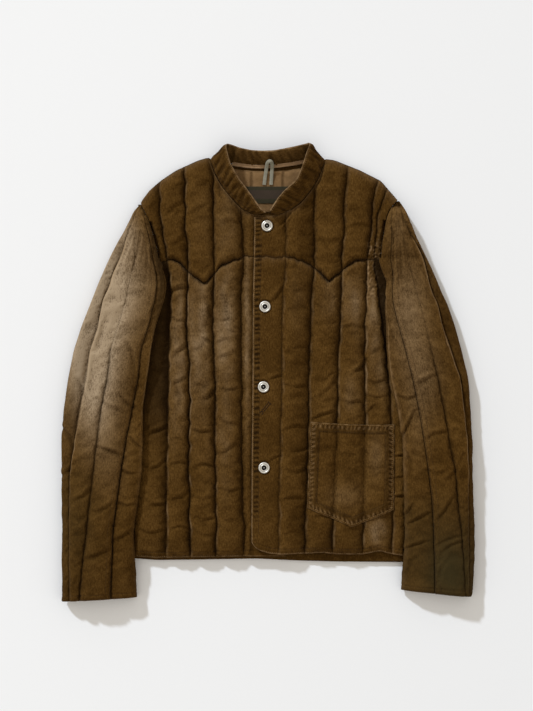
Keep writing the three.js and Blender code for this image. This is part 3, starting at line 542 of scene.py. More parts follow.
def quilting(P, seed, loft=CROWN, ends=(0.2, 0.15), side_loft=(), fall=(7.0, 5.0), pucker=1.0):
    """Swell of a quilted panel over its sewn lines, with gathers along them."""
    lofts = np.minimum(loft, 0.42 * P.width)
    for k, share in dict(side_loft).items():
        lofts = np.where(P.k == k, lofts * (share(P.v) if callable(share) else share), lofts)
    lean = P.t ** 0.9 + 0.12 * noise(P.v / 38, P.k * 7.3, seed) * np.sin(np.pi * P.t)
    swell = (1 - (1 - ends[0]) * np.exp(-(P.from_top / fall[0]) ** 1.3)) * (1 - (1 - ends[1]) * np.exp(-(P.from_bottom / fall[1]) ** 1.3))
    lumps = 1 + 0.16 * noise(P.v / 17, P.k * 5.1 + P.t * 0.9, seed + 1) + 0.10 * noise(P.v / 8, P.k * 3.7 + P.t * 1.8, seed + 2)
    z = lofts * channel_profile(lean) * swell * lumps
    # short gathers that run out from each sewn line
    near = P.off
    side = np.where(P.t > 0.5, 1, 0)
    run = P.v * UNIT
    slip = (1 - 2 * side) * near * 0.35 * noise(run / 60, P.nearest * 3.3, seed + 8) * 2.5
    g = noise((run + slip) / 15, P.nearest * 11.7 + side * 3.1 + near / 60, seed + 3) + 0.35 * noise((run + slip) / 6.5, P.nearest * 5.9 + side * 1.7 + near / 30, seed + 4)
    sparse = -1.9 * np.clip(g - 0.10, 0, 1) + 0.5 * g
    z = z + pucker * 1.9 * sparse * np.exp(-near / 11) * (1 - np.exp(-near / 1.3))
    # and from the seams at both ends
    across = P.u * UNIT
    for d, sd in ((P.from_top, seed + 5), (P.from_bottom, seed + 6)):
        g = noise(across / 6.0, d / 30, sd) + 0.7 * noise(across / 11, d / 34, sd + 9)
        z = z + pucker * 2.3 * g * np.exp(-d / 9.0) * (0.25 + 0.75 * (1 - np.exp(-d / 1.8)))
    return z


def wobble(P, seed, amount=0.85):
    """Uneven run of the sewn lines across the panel, in layout units."""
    keep = np.minimum(1, P.from_top / 12) * np.minimum(1, P.from_bottom / 12)
    w = np.zeros_like(P.u)
    for n in range(len(P.lines)):
        weight = np.where(P.k == n, 1 - P.t, 0) + np.where(P.k == n - 1, P.t, 0)
        cusp = 0.55 - 2.6 * np.abs(noise(P.v / 27, n * 5.3, seed + 2))
        way = 1 if noise(n * 3.7, 0.4, seed + 3) > 0 else -1
        w = w + weight * (0.7 * noise(P.v / 9, n * 9.7, seed) + 0.6 * noise(P.v / 22, n * 4.3, seed + 1) + 1.5 * way * cusp)
    inside = np.minimum(np.minimum((P.k + P.t), (len(P.lines) - 1) - (P.k + P.t)), 1)
    return P.u + amount * w * keep * inside


def base_facts(P, z, pale_and_highlight=None, fade=None, dye_and_painted_shade=None, green=None, rows=6, cols=3):
    x, y = place(P.u, P.v, 20)
    zero = np.zeros_like(z)
    return {
        "grain": np.stack([x, y, zero], -1) / 1000,
        "relief_shade": relief_shade(z, rows, cols),
        "pale_and_highlight": zero if pale_and_highlight is None else pale_and_highlight,
        "fade": zero if fade is None else fade,
        "dye_and_painted_shade": zero if dye_and_painted_shade is None else dye_and_painted_shade,
        "green": zero if green is None else green,
    }


def blob(u, v, cu, cv, ru, rv, turn=0.0):
    a = math.radians(turn)
    x, y = (u - cu) * math.cos(a) + (v - cv) * math.sin(a), -(u - cu) * math.sin(a) + (v - cv) * math.cos(a)
    return np.exp(-((x / ru) ** 2 + (y / rv) ** 2))


def flat_under(P, z0, step=(4, 3), shrink=0.0):
    """Underside of a panel, coarser than its top."""
    rows = np.unique(np.r_[np.arange(0, P.u.shape[0], step[0]), P.u.shape[0] - 1])
    cols = np.unique(np.r_[np.arange(0, P.u.shape[1], step[1]), P.u.shape[1] - 1])
    u, v = P.u[np.ix_(rows, cols)], P.v[np.ix_(rows, cols)]
    low = z0[np.ix_(rows, cols)] if isinstance(z0, np.ndarray) else np.full(u.shape, float(z0))
    x, y = place(u, v, 20)
    return np.stack([x, y, low], -1)


pieces = {}      # name: dict with the panel, its height and what it carries
SEAM_LIFT = 0.0


def top_grid(P, z):
    x, y = place(P.u, P.v, 20)
    return np.stack([x, y, z], -1)


# ------------------------------------------------------ right front, right yoke
CUT = 20

def right_height(P, seed, is_yoke):
    shy = (lambda v: 0.5 + 0 * v) if is_yoke else (lambda v: 0.02 + 0.5 * smooth01((v - 352) / 60) + 0.12 * smooth01((v - 440) / 40))
    q = quilting(P, seed, ends=(0.1, 0.16) if is_yoke else (0.10, 0.12), side_loft={0: shy, 4: 0.35, 5: 0.0}, fall=(9.0, 4.5) if is_yoke else (4.5, 5.0))
    base = np.full_like(q, SEAM)
    edge_zone = P.k >= 4
    rise = smooth01(np.where(P.k == 4, P.t, 1.0) * 1.3)
    base = np.where(edge_zone, SEAM + (UNDER_TOP - 0.4 - SEAM) * rise, base)
    if is_yoke:
        up = np.where(P.k == 0, (1 - P.t) * (17.5 - SEAM), 0)
        base = base + up * np.minimum(1, P.from_bottom / 60)
    z = base + q
    if is_yoke:
        z = z + np.exp(-(P.from_top / 6.0) ** 2) * (P.u > 207) * np.maximum(0, 13.9 - z)
    z = np.where(P.k >= 4, np.minimum(z, np.where(P.k == 4, UNDER_TOP + 1.2 - 1.2 * P.t, UNDER_TOP - 0.1)), z)
    return z


yoke_r = Panel([SIDE_R, A, B, C, Dl, EDGE, UNDER], [14, CUT, CUT, CUT, 10, 6], TOP_R, YOKE_R, 150, {0: 205.0})
front_r = Panel([SIDE_R, A, B, C, Dl, EDGE, UNDER], [16, CUT, CUT, CUT, 10, 6], YOKE_R, HEM_R, 420)
yoke_r.u = wobble(yoke_r, 11)
front_r.u = wobble(front_r, 11)
z_yr = right_height(yoke_r, 100, True)
z_fr = right_height(front_r, 200, False)

# ------------------------------------------------------- left front, left yoke


def left_height(P, seed, is_yoke):
    # k: 0 edge to e, 1 e to f, 2 f to g, 3 g to h, 4 h to i, 5 i to side
    shy = (lambda v: 0.45 + 0 * v) if is_yoke else (lambda v: 0.04 + 0.46 * smooth01((v - 330) / 60))
    q = quilting(P, seed, ends=(0.1, 0.16) if is_yoke else (0.10, 0.12), side_loft={0: 0.22, 1: 1.0, 4: 0.85, 5: shy}, fall=(9.0, 4.5) if is_yoke else (4.5, 5.0))
    base = np.full_like(q, SEAM)
    t = P.t
    edge = EDGE_TOP - 2.2 + 2.2 * smooth01(t * P.width / 9) - 0.8 * smooth01((t - 0.75) * 4)
    base = np.where(P.k == 0, edge, base)
    down = EDGE_TOP - 0.8 + (SEAM - EDGE_TOP + 0.8) * smooth01(np.clip((t - 0.15) / 0.85, 0, 1))
    base = np.where(P.k == 1, down, base)
    if is_yoke:
        up = np.where(P.k == 5, P.t * (17.5 - SEAM), 0)
        base = base + up * np.minimum(1, P.from_bottom / 60)
    z = base + np.where(P.k == 1, q * 0.62, q)
    if is_yoke:
        z = z + np.exp(-(P.from_top / 6.0) ** 2) * (P.u < 327) * np.maximum(0, 13.9 - z)
    return z


LEFT_LINES = [EDGE, E, F, G, H, I, SIDE_L]
yoke_l = Panel(LEFT_LINES, [22, CUT, CUT, CUT, 10, 10], TOP_L, YOKE_L, 150, {-1: 200.0})
front_l = Panel(LEFT_LINES, [22, CUT, CUT, CUT, 18, 10], YOKE_L, HEM_L, 420)
yoke_l.u = wobble(yoke_l, 21, 0.75)
front_l.u = wobble(front_l, 21, 0.75)
z_yl = left_height(yoke_l, 300, True)
z_fl = left_height(front_l, 400, False)


def left_floor(P):
    """Underside of the left front: on the right front, then on the back."""
    x, _ = place(P.u, P.v, 20)
    return np.where(x < 34, UNDER_TOP + 0.3, BACK_TOP + 0.3)


# Folds: layout points, depth, width, ridge.
FOLDS_R = [
    ([(149.5, 434), (158, 431), (167, 427)], 2.6, 3.4, 0.6), ([(152, 506), (165, 504.5)], 2.0, 3.2, 0.6),
    ([(171, 292), (179, 288), (187, 287)], 3.2, 3.6, 0.6), ([(203, 400), (209, 397), (215, 390)], 2.8, 4.0, 0.5),
    ([(204, 465), (215, 467)], 1.9, 3.0, 0.6), ([(192, 470), (203, 464), (212, 463)], 1.6, 4.5, 0.4),
    ([(170, 466), (180, 463), (188, 464)], 1.5, 3.4, 0.5), ([(206, 520), (215, 518)], 1.5, 3.0, 0.5),
    ([(217, 455), (226, 452), (234, 446)], 1.8, 4.0, 0.5), ([(172, 500), (182, 497), (188, 492)], 1.5, 4.0, 0.5),
    ([(216, 345), (225, 340), (232, 341)], 1.6, 4.6, 0.4), ([(190, 352), (200, 349), (206, 341)], 1.5, 4.6, 0.4),
    ([(176, 385), (180, 398), (178, 412)], 1.8, 4.0, 0.5), ([(218, 418), (228, 424), (239, 425)], 1.3, 4.0, 0.4),
    ([(193, 530), (204, 536), (214, 536)], 1.3, 4.0, 0.4), ([(220, 288), (226, 300), (229, 320)], 1.5, 4.0, 0.4),
    ([(207, 298), (209.4, 310.7), (211.6, 321)], 2.2, 3.4, 0.5), ([(204, 338), (208, 340), (212, 343)], 1.8, 2.6, 0.6),
    ([(229, 319), (222, 322)], 1.3, 2.6, 0.6), ([(218, 358), (226, 356), (234, 353)], 1.6, 3.8, 0.5),
    ([(177, 353), (182, 349), (188, 344)], 2.6, 3.6, 0.6), ([(174, 384), (180, 381), (186, 378)], 1.8, 3.2, 0.6),
    ([(193, 430), (201, 433), (213, 431)], 1.5, 3.4, 0.5), ([(219, 388), (228, 391), (238, 388)], 1.2, 3.4, 0.5),
    ([(171, 318), (178, 322), (185, 320)], 1.5, 3.4, 0.5), ([(150, 470), (158, 467), (165, 461)], 1.6, 3.2, 0.5),
    ([(220, 489), (230, 492), (241, 489)], 1.4, 3.4, 0.5), ([(193, 497), (203, 500), (214, 497)], 1.3, 3.4, 0.5),
    ([(170, 530), (179, 527), (188, 529)], 1.4, 3.2, 0.5), ([(140, 530), (150, 534), (163, 531)], 1.4, 3.2, 0.5),
]
FOLDS_L = [
    ([(270, 380), (276, 377), (282, 376)], 1.8, 2.6, 0.6), ([(270, 304), (277, 297), (283, 288)], 1.7, 3.2, 0.7),
    ([(269, 462), (275, 458), (281, 456)], 1.3, 2.6, 0.5), ([(312, 446), (304, 450), (294, 452)], 2.0, 3.2, 0.5),
    ([(284, 470), (296, 473), (306, 470)], 1.3, 4.0, 0.5), ([(283, 385), (295, 387), (309, 386)], 1.4, 3.0, 0.5),
    ([(355, 372), (362, 368), (366, 360)], 3.2, 3.2, 0.6), ([(312, 420), (322, 415), (333, 412)], 2.4, 3.0, 0.6),
    ([(339, 400), (350, 404), (362, 402)], 1.5, 4.4, 0.5), ([(311, 400), (321, 396), (332, 386), (337, 376)], 1.6, 3.6, 0.4),
    ([(366, 415), (370, 410), (374, 406)], 1.4, 2.4, 0.9), ([(397, 456), (404, 456)], 3.0, 2.2, 0.7),
    ([(396, 497), (404, 496.5)], 3.0, 2.4, 0.6), ([(396, 478), (404, 477)], 1.4, 2.0, 0.6),
    ([(284, 430), (296, 426), (308, 428)], 1.2, 3.6, 0.4), ([(366, 380), (376, 384), (386, 380)], 1.4, 3.6, 0.5),
    ([(341, 330), (352, 326), (364, 328)], 1.2, 4.6, 0.4), ([(310, 520), (320, 516), (332, 517)], 1.2, 3.6, 0.4),
    ([(283, 500), (292, 498), (304, 499)], 1.4, 3.6, 0.4), ([(366, 395), (375, 398), (384, 397)], 1.2, 2.6, 0.5),
]
FOLDS_YR = [
    ([(190, 215), (196, 211), (206, 206)], 1.3, 4.6, 0.4), ([(148, 226), (154, 232), (158, 243)], 1.4, 3.6, 0.5),
    ([(218, 226), (228, 222), (238, 224)], 1.0, 4.0, 0.4), ([(168, 216), (174, 208), (182, 203)], 1.2, 4.0, 0.5),
    ([(232, 209), (238, 216), (241, 224)], 1.3, 2.6, 0.6), ([(170, 246), (178, 243), (184, 237)], 1.2, 4.0, 0.4),
]
FOLDS_YL = [
    ([(291, 212), (286, 219), (279, 227)], 1.5, 1.9, 0.9), ([(297, 208), (289, 222), (284, 236)], 1.1, 1.9, 0.8),
    ([(346, 229), (356, 225), (366, 226)], 1.0, 4.0, 0.5), ([(316, 240), (326, 243), (338, 240)], 1.0, 4.0, 0.4),
    ([(283, 212), (276, 214), (270, 218)], 0.9, 1.8, 0.6), ([(377, 236), (381, 243), (379, 252)], 1.2, 1.6, 0.7),
    ([(374, 246), (379, 249)], 1.2, 1.2, 0.7), ([(374, 254), (380, 256)], 1.2, 1.2, 0.7),
]
for run, d, w, r in FOLDS_R:
    z_fr = crease(z_fr, front_r.u, front_r.v, run, 1.45 * d, 0.9 * w, r)
for run, d, w, r in FOLDS_L:
    z_fl = crease(z_fl, front_l.u, front_l.v, run, 1.45 * d, 0.9 * w, r)
for run, d, w, r in FOLDS_YR:
    z_yr = crease(z_yr, yoke_r.u, yoke_r.v, run, 1.2 * d, w, r)
for run, d, w, r in FOLDS_YL:
    z_yl = crease(z_yl, yoke_l.u, yoke_l.v, run, 1.3 * d, w, r)


def gathers_between(P, z, off, lo, hi, pitch, depth, seed, where=1.0):
    """Puckers across a narrow stitched band: off is the distance from its edge."""
    window = smooth01((off - lo) / 1.0) * smooth01((hi - off) / 1.4)
    phase = P.v * UNIT / pitch + 0.8 * noise(P.v / 12, 3.3, seed) + 0.015 * off
    return z - depth * window * where * (0.5 + 0.5 * np.sin(2 * np.pi * phase)) ** 1.3 * (0.75 + 0.9 * noise(P.v / 9, 1.7, seed + 1))


# Placket: an edge row and a second row, with the cloth gathered between them.
for P, name in ((yoke_l, "yl"), (front_l, "fl")):
    off = (P.u - EDGE(P.v)) * UNIT
    z = z_yl if name == "yl" else z_fl
    fade_low = 1 - 0.75 * smooth01((P.v - 505) / 25)
    z = gathers_between(P, z, off, 2.0, 12.0, 8.2, 2.1, 31, fade_low)
    for at, depth in ((1.9, 0.5), (11.6, 0.25)):
        z = z - depth * np.exp(-((off - at) / 0.9) ** 2)
    if name == "yl":
        z_yl = z
    else:
        z_fl = z


def hem_band(P, z, seed, start=0.0):
    """Turned hem: a row of stitches with small gathers under it."""
    d = P.from_bottom
    z = z - 0.8 * np.exp(-((d - 9.5) / 1.5) ** 2)
    g = noise(P.u * UNIT / 6.5, 0.3, seed) + 0.6 * noise(P.u * UNIT / 4.1, 0.9, seed + 1)
    return z + 1.9 * g * smooth01(d / 1.5) * smooth01((15 - d) / 5.0)


z_fr = hem_band(front_r, z_fr, 51)
z_fl = hem_band(front_l, z_fl, 52)

# --------------------------------------------------------------- simulated cloth


def taps(n_fine, index):
    """Weights that carry values at coarse indices to all fine ones, smoothly."""
    fine = np.arange(n_fine)
    k = np.clip(np.searchsorted(index, fine, "right") - 1, 0, len(index) - 2)
    t = (fine - index[k]) / (index[k + 1] - index[k])
    out = np.zeros((n_fine, len(index)))
    k0, k3 = np.clip(k - 1, 0, None), np.clip(k + 2, None, len(index) - 1)
    for kk, w in ((k0, -0.5 * t + t ** 2 - 0.5 * t ** 3), (k, 1 - 2.5 * t ** 2 + 1.5 * t ** 3),
                  (k + 1, 0.5 * t + 2 * t ** 2 - 1.5 * t ** 3), (k3, -0.5 * t ** 2 + 0.5 * t ** 3)):
        np.add.at(out, (fine, kk), w)
    return out


GROW = 0.011


class Billow:
    """The cloth of a piece between its sewn lines, let swell and wrinkle."""

    def __init__(self, name, grid, pinned, step, grow, pressure, cap):
        self.rows = np.unique(np.r_[np.arange(0, grid.shape[0], step[0]), grid.shape[0] - 1])
        cols = set(range(0, grid.shape[1], step[1])) | {grid.shape[1] - 1}
        held = pinned.mean(0) > 0.9
        cols |= set(np.nonzero(held)[0].tolist())
        self.cols = np.array(sorted(cols))
        self.shape, self.cap = grid.shape, cap
        coarse = grid[np.ix_(self.rows, self.cols)] / 1000
        self.start = coarse
        r, c = coarse.shape[:2]
        n = np.arange(r * c).reshape(r, c)
        a, b, cc, d = n[:-1, :-1].ravel(), n[:-1, 1:].ravel(), n[1:, 1:].ravel(), n[1:, :-1].ravel()
        mesh = collect(name + "_sim")
        mesh.from_pydata(coarse.reshape(-1, 3).tolist(), [], np.stack([a, d, cc, b], 1).tolist())
        self.ob = bpy.data.objects.new(name + "_sim", mesh)
        scene.collection.objects.link(self.ob)
        group = self.ob.vertex_groups.new(name="held")
        where = pinned[np.ix_(self.rows, self.cols)].reshape(-1)
        group.add(np.nonzero(where)[0].tolist(), 1.0, "REPLACE")
        cloth = self.ob.modifiers.new("cloth", "CLOTH")
        s = cloth.settings
        s.vertex_group_mass = "held"
        s.quality = 4
        s.mass = 0.12
        s.tension_stiffness, s.compression_stiffness, s.shear_stiffness = 22, 22, 8
        s.bending_stiffness = 1.2
        s.air_damping = 3
        s.use_pressure = True
        s.uniform_pressure_force = pressure
        s.shrink_min = -grow
        s.effector_weights.gravity = 0
        cloth.collision_settings.use_collision = False
        cloth.collision_settings.use_self_collision = False

    def result(self):
        dg = bpy.context.evaluated_depsgraph_get()
        e = self.ob.evaluated_get(dg)
        co = np.zeros(len(e.data.vertices) * 3, np.float32)
        e.data.vertices.foreach_get("co", co)
        move = (co.reshape(self.start.shape).astype(float) - self.start) * 1000
        move = np.nan_to_num(move)
        size = np.linalg.norm(move, axis=-1, keepdims=True)
        move = move * np.minimum(1, self.cap / np.maximum(size, 1e-6))
        wr, wc = taps(self.shape[0], self.rows), taps(self.shape[1], self.cols)
        fine = np.einsum("ir,rcx->icx", wr, move)
        fine = np.einsum("jc,icx->ijx", wc, fine)
        mesh = self.ob.data
        bpy.data.objects.remove(self.ob)
        bpy.data.meshes.remove(mesh)
        return fine


def panel_pins(P, lines_held=None):
    pin = np.zeros(P.u.shape, bool)
    pin[:, (P.t < 1e-6)] = True
    pin[:, -1] = True
    pin[0, :] = pin[-1, :] = True
    return pin


jobs = {}
for name, P, z in (("yoke_r", yoke_r, z_yr), ("front_r", front_r, z_fr), ("yoke_l", yoke_l, z_yl), ("front_l", front_l, z_fl)):
    pin = panel_pins(P)
    if name.endswith("_r"):
        pin[:, P.k >= 5] = True
    else:
        pin[:, (P.k == 0)] = True
    jobs[name] = Billow(name, top_grid(P, z), pin, (3, 2), GROW, 1.0, 3.2)

# ----------------------------------------------------------------------- sleeves
# v, outer fold, first, second and third sewn line, inner fold (layout units).
ROWS_R = [(203.6, 139.9, 140.3, 140.6, 140.9, 141.3), (206, 137.4, 138.0, 139.5, 141.0, 142.4), (209.5, 134.6, 136.6, 139, 142, 144.2), (213, 132.6, 135.2, 138.6, 142.9, 145.7), (222, 129.2, 132, 137, 145, 149.4), (235, 122, 126.8, 136, 148, 153.0), (250, 114, 122.8, 135.5, 151, 157.0), (262, 108, 118, 134.5, 153, 159.6),
          (275, 102.3, 112, 131, 156, 165), (285, 98, 109.5, 129, 157, 167), (300, 92.2, 103, 126, 155, 164.5), (325, 82, 98, 118.7, 149, 156), (350, 74, 91, 111, 141, 151), (380, 68, 86, 107, 138, 146.2), (410, 64, 80, 101, 132, 141.5), (440, 61.5, 75, 97, 126, 142.3), (470, 62.5, 70, 93.5, 121, 141.3), (500, 62.2, 69, 90, 117, 137), (530, 63, 69, 86.5, 113, 132), (560, 62.3, 69, 83, 112, 133.8), (585, 63, 69.5, 80.5, 111, 134.3), (600, 63, 69.5, 79.4, 110.6, 134.8)]
# v, inner fold, third, second and first sewn line, outer fold.
ROWS_L = [(200.2, 397.4, 397.8, 398.2, 398.6, 399.0), (203, 394.6, 396, 397.8, 399.4, 400.9), (206, 391.9, 394, 396.7, 400, 403), (210, 388.6, 391.6, 395.4, 400.2, 404.6), (220, 385.0, 391, 397.5, 403.4, 408.6), (235, 384.5, 392, 402, 411, 414.5), (250, 382.2, 391.5, 406, 419, 422), (262, 382.2, 391, 409, 424, 428),
          (275, 388.3, 393.5, 412, 427.5, 434), (290, 387.2, 392.5, 415.5, 431.5, 440), (305, 384.5, 393.5, 420, 438, 447), (325, 386, 398.5, 425, 442.5, 454.2), (350, 386.6, 405.5, 431, 451, 461), (380, 390, 413, 438, 460.5, 468), (410, 397.5, 419, 444, 464.5, 470), (440, 403.8, 424, 449, 467.5, 472), (470, 404.3, 428.3, 455, 469, 472), (500, 405.3, 432, 457.5, 468.5, 473), (530, 406.4, 433.5, 461, 469, 474.2), (560, 404.7, 434.5, 463.5, 469, 474), (585, 403.3, 435, 465, 469.5, 473), (594, 403, 435, 465.5, 469.5, 471)]
CROWNS = [11, 17, 22, 24, 26, 28, 29, 30, 29, 30, 31, 31, 32, 32, 32, 32, 33, 33, 33, 33, 33, 33]
RIDES = [0, 0, 0, 0, 0, 0.25, 0.6, 1, 1, 1, 1, 1, 1, 1, 1, 1, 1, 1, 1, 1, 0, 0]
EDGES = [9, 13, 15.5, 16.5, 16, 17, 18, 22, 22, 22, 22, 22, 22, 21, 20, 18, 16, 15, 14, 14, 14, 14]
RIDE = line([(-60, 0), (-18, 0), (0, 14.5), (10, 20.5), (20, 23.5), (40, 26), (80, 26)], 1.5)


class Sleeve:
    """Grid of a sleeve: its upper layer from the outer fold to the inner one,
    then its lower layer back, and the middle of the space between them."""

    def __init__(self, side, table, body_side, slant, rows, cuts=(20, 18, 22, 22)):
        self.side = side
        inward = 1 if side == "r" else -1
        self.inward = inward
        vs = [r[0] for r in table]
        order = (1, 2, 3, 4, 5) if side == "r" else (5, 4, 3, 2, 1)
        tops = []
        for n, z in zip(order, (12, 26, 26, 26, 28)):
            tops.append(line([(r[0], place(r[n], r[0], z)[0] * inward) for r in table], 3.5))
        crown = line(list(zip(vs, CROWNS[:1] * (len(vs) - len(CROWNS)) + CROWNS)), 4)
        ride = line(list(zip(vs, RIDES[:1] * (len(vs) - len(RIDES)) + RIDES)), 3)
        edge = line(list(zip(vs, EDGES[:1] * (len(vs) - len(EDGES)) + EDGES)), 4)
        s = spread(rows, 0.9)[:, None]
        v0, v1 = vs[0] + 0.3, vs[-1]
        v = v0 + (v1 - v0) * s
        q = [f(v[:, 0])[:, None] for f in tops]
        wall = (place(body_side(v[:, 0]), v[:, 0], 20)[0] * inward)[:, None]
        sewn = smooth01((276 - v) / 14)
        limit = wall - 0.6
        q[4] = np.where(v <= 262, limit, np.where(v < 296, np.maximum(q[4], limit), q[4]))
        room = 0.4 + 1.3 * smooth01((v - vs[0] - 0.6) / 5)
        for n in (3, 2, 1):
            q[n] = np.minimum(q[n], q[4] - (4 - n) * room)
        q[0] = np.minimum(q[0], q[1] - room)
        cz, ez, rz = crown(v), edge(v), np.clip(ride(v), 0, 1)
        low_at = lambda qq: RIDE(qq - wall) * rz
        low_in = low_at(q[4])
        zo = np.minimum(9.0, 0.45 * cz)
        if side == "l":          # this sleeve head stands clear of the table
            head = smooth01((330 - v) / 100)
            cz = np.maximum(cz, (11 + 25 * smooth01((v - 200) / 14)) * head)
            zo = np.minimum(zo + 20 * head, 0.78 * cz)
        knots = [zo, cz - 8, cz - 6, cz - 6.5]
        reach = lambda qq: np.maximum(0.5 * cz, zo) + 0.9 * np.abs(qq - q[0]) + 2
        knots = [knots[0]] + [np.minimum(k, reach(q[n + 1])) for n, k in enumerate(knots[1:])]
        knots[3] = np.maximum(knots[3], low_at(q[3]) + 6)
        top_in = np.maximum(ez, low_in + 8)
        zm = 0.5 * (top_in + low_in)
        zm = np.where(rz < 0.05, np.minimum(zm, ez * 0.6), zm)
        X, Z, K, T = [], [], [], []
        for t in np.linspace(-1, 0, 6)[:-1]:   # under the outer fold
            X.append(q[0] + 3.2 * (1 - np.cos(t * np.pi / 2)))
            Z.append(zo + (zo - 4.8) * np.sin(t * np.pi / 2))
            K.append(-1); T.append(t + 1)
        for t in spread(cuts[0])[:-1]:
            X.append(q[0] + (q[1] - q[0]) * (1 - np.cos(t * np.pi / 2)) ** 0.95)
            Z.append(zo + (knots[1] - zo) * np.sin(t * np.pi / 2))
            K.append(0); T.append(t)
        for c in (1, 2):
            for t in spread(cuts[c])[:-1]:
                X.append(q[c] + (q[c + 1] - q[c]) * t)
                Z.append(knots[c] + (knots[c + 1] - knots[c]) * t)
                K.append(c); T.append(t)
        zi = zm + 0 * v
        for t in spread(cuts[3], 0.7):
            X.append(q[3] + (q[4] - q[3]) * np.sin(t * np.pi / 2) ** 1.05)
            Z.append(zi + (knots[3] - zi) * np.clip(np.cos(t * np.pi / 2), 0, 1) ** (1.0 - 0.60 * sewn))
            K.append(3); T.append(t)
        self.seam = 5 + sum(cuts[:3])
        X = [x + 0 * v for x in X]
        Z = [z + 0 * v for z in Z]
        self.q = np.concatenate(X, 1)
        self.z = np.concatenate(Z, 1)
        self.k, self.t = np.array(K), np.array(T)
        self.v = v + 0 * self.q
        widths = [q[1] - q[0], q[1] - q[0], q[2] - q[1], q[3] - q[2], q[4] - q[3]]
        self.width = np.concatenate([np.broadcast_to(widths[k + 1], v.shape) for k in K], 1)
        self.off = np.minimum(np.abs(self.t), 1 - self.t) * self.width
        self.nearest = self.k + (self.t > 0.5)
        # no sewn line runs along a fold
        fold = ((self.k == 3) & (self.t > 0.5)) | ((self.k == 0) & (self.t < 0.5)) | (self.k == -1)
        self.off = np.where(fold, 60, self.off)
        self.from_top = (self.v - v0) * UNIT
        self.from_bottom = (v1 - self.v) * UNIT
        self.lines = [None] * 5
        self.qs_mid = CU + ((0.5 * (q[0] + q[4]) * inward - 0.25) / UNIT + 268 - CU)
        self.slant, self.middle = slant, 0.5 * (q[0] + q[4])
        self.u = self.layout_u(self.q, self.z)
        self.cz, self.rz, self.wall, self.qs, self.zo, self.zm, self.low_at = cz, rz, wall, q, zo, zm, low_at
        self.low_in = low_in
        # lower layer, from the inner fold out
        X, Z = [], []
        for b in np.linspace(0, 1, 7)[1:]:
            X.append(q[4] - 5.5 * (1 - np.cos(b * np.pi / 2)))
            Z.append(zm + (np.maximum(low_in, 0) - zm) * np.sin(b * np.pi / 2))
        start = q[4] - 5.5
        end = q[0] + 9
        for b in np.linspace(0, 1, 27)[1:]:
            qq = start + (end - start) * b
            X.append(qq)
            groove = sum(1.6 * np.exp(-((qq - q[n]) / 4.0) ** 2) for n in (1, 2, 3))
            Z.append(low_at(qq) + groove)
        for b in (0.4, 0.75, 1.0):
            X.append(end + (q[0] + 3.4 - end) * b)
            Z.append(3.7 * b ** 2 + 0 * v)
        self.low_q = np.concatenate([x + 0 * v for x in X], 1)
        self.low_z = np.maximum(0, np.concatenate([z + 0 * v for z in Z], 1))

    def layout_u(self, q, z):
        x = q * self.inward
        f = 1 - z / EYE
        return CU + ((x - 0.25) / UNIT + 268 - CU) / f

    def grid(self, q, z, v):
        x = q * self.inward
        y = place(0 * v, v, 20)[1]
        lean = smooth01((v - 570) / 26)
        y = y + lean * self.slant * (x - self.middle * self.inward)
        return np.stack([x + 0 * y, y, z + 0 * y], -1)


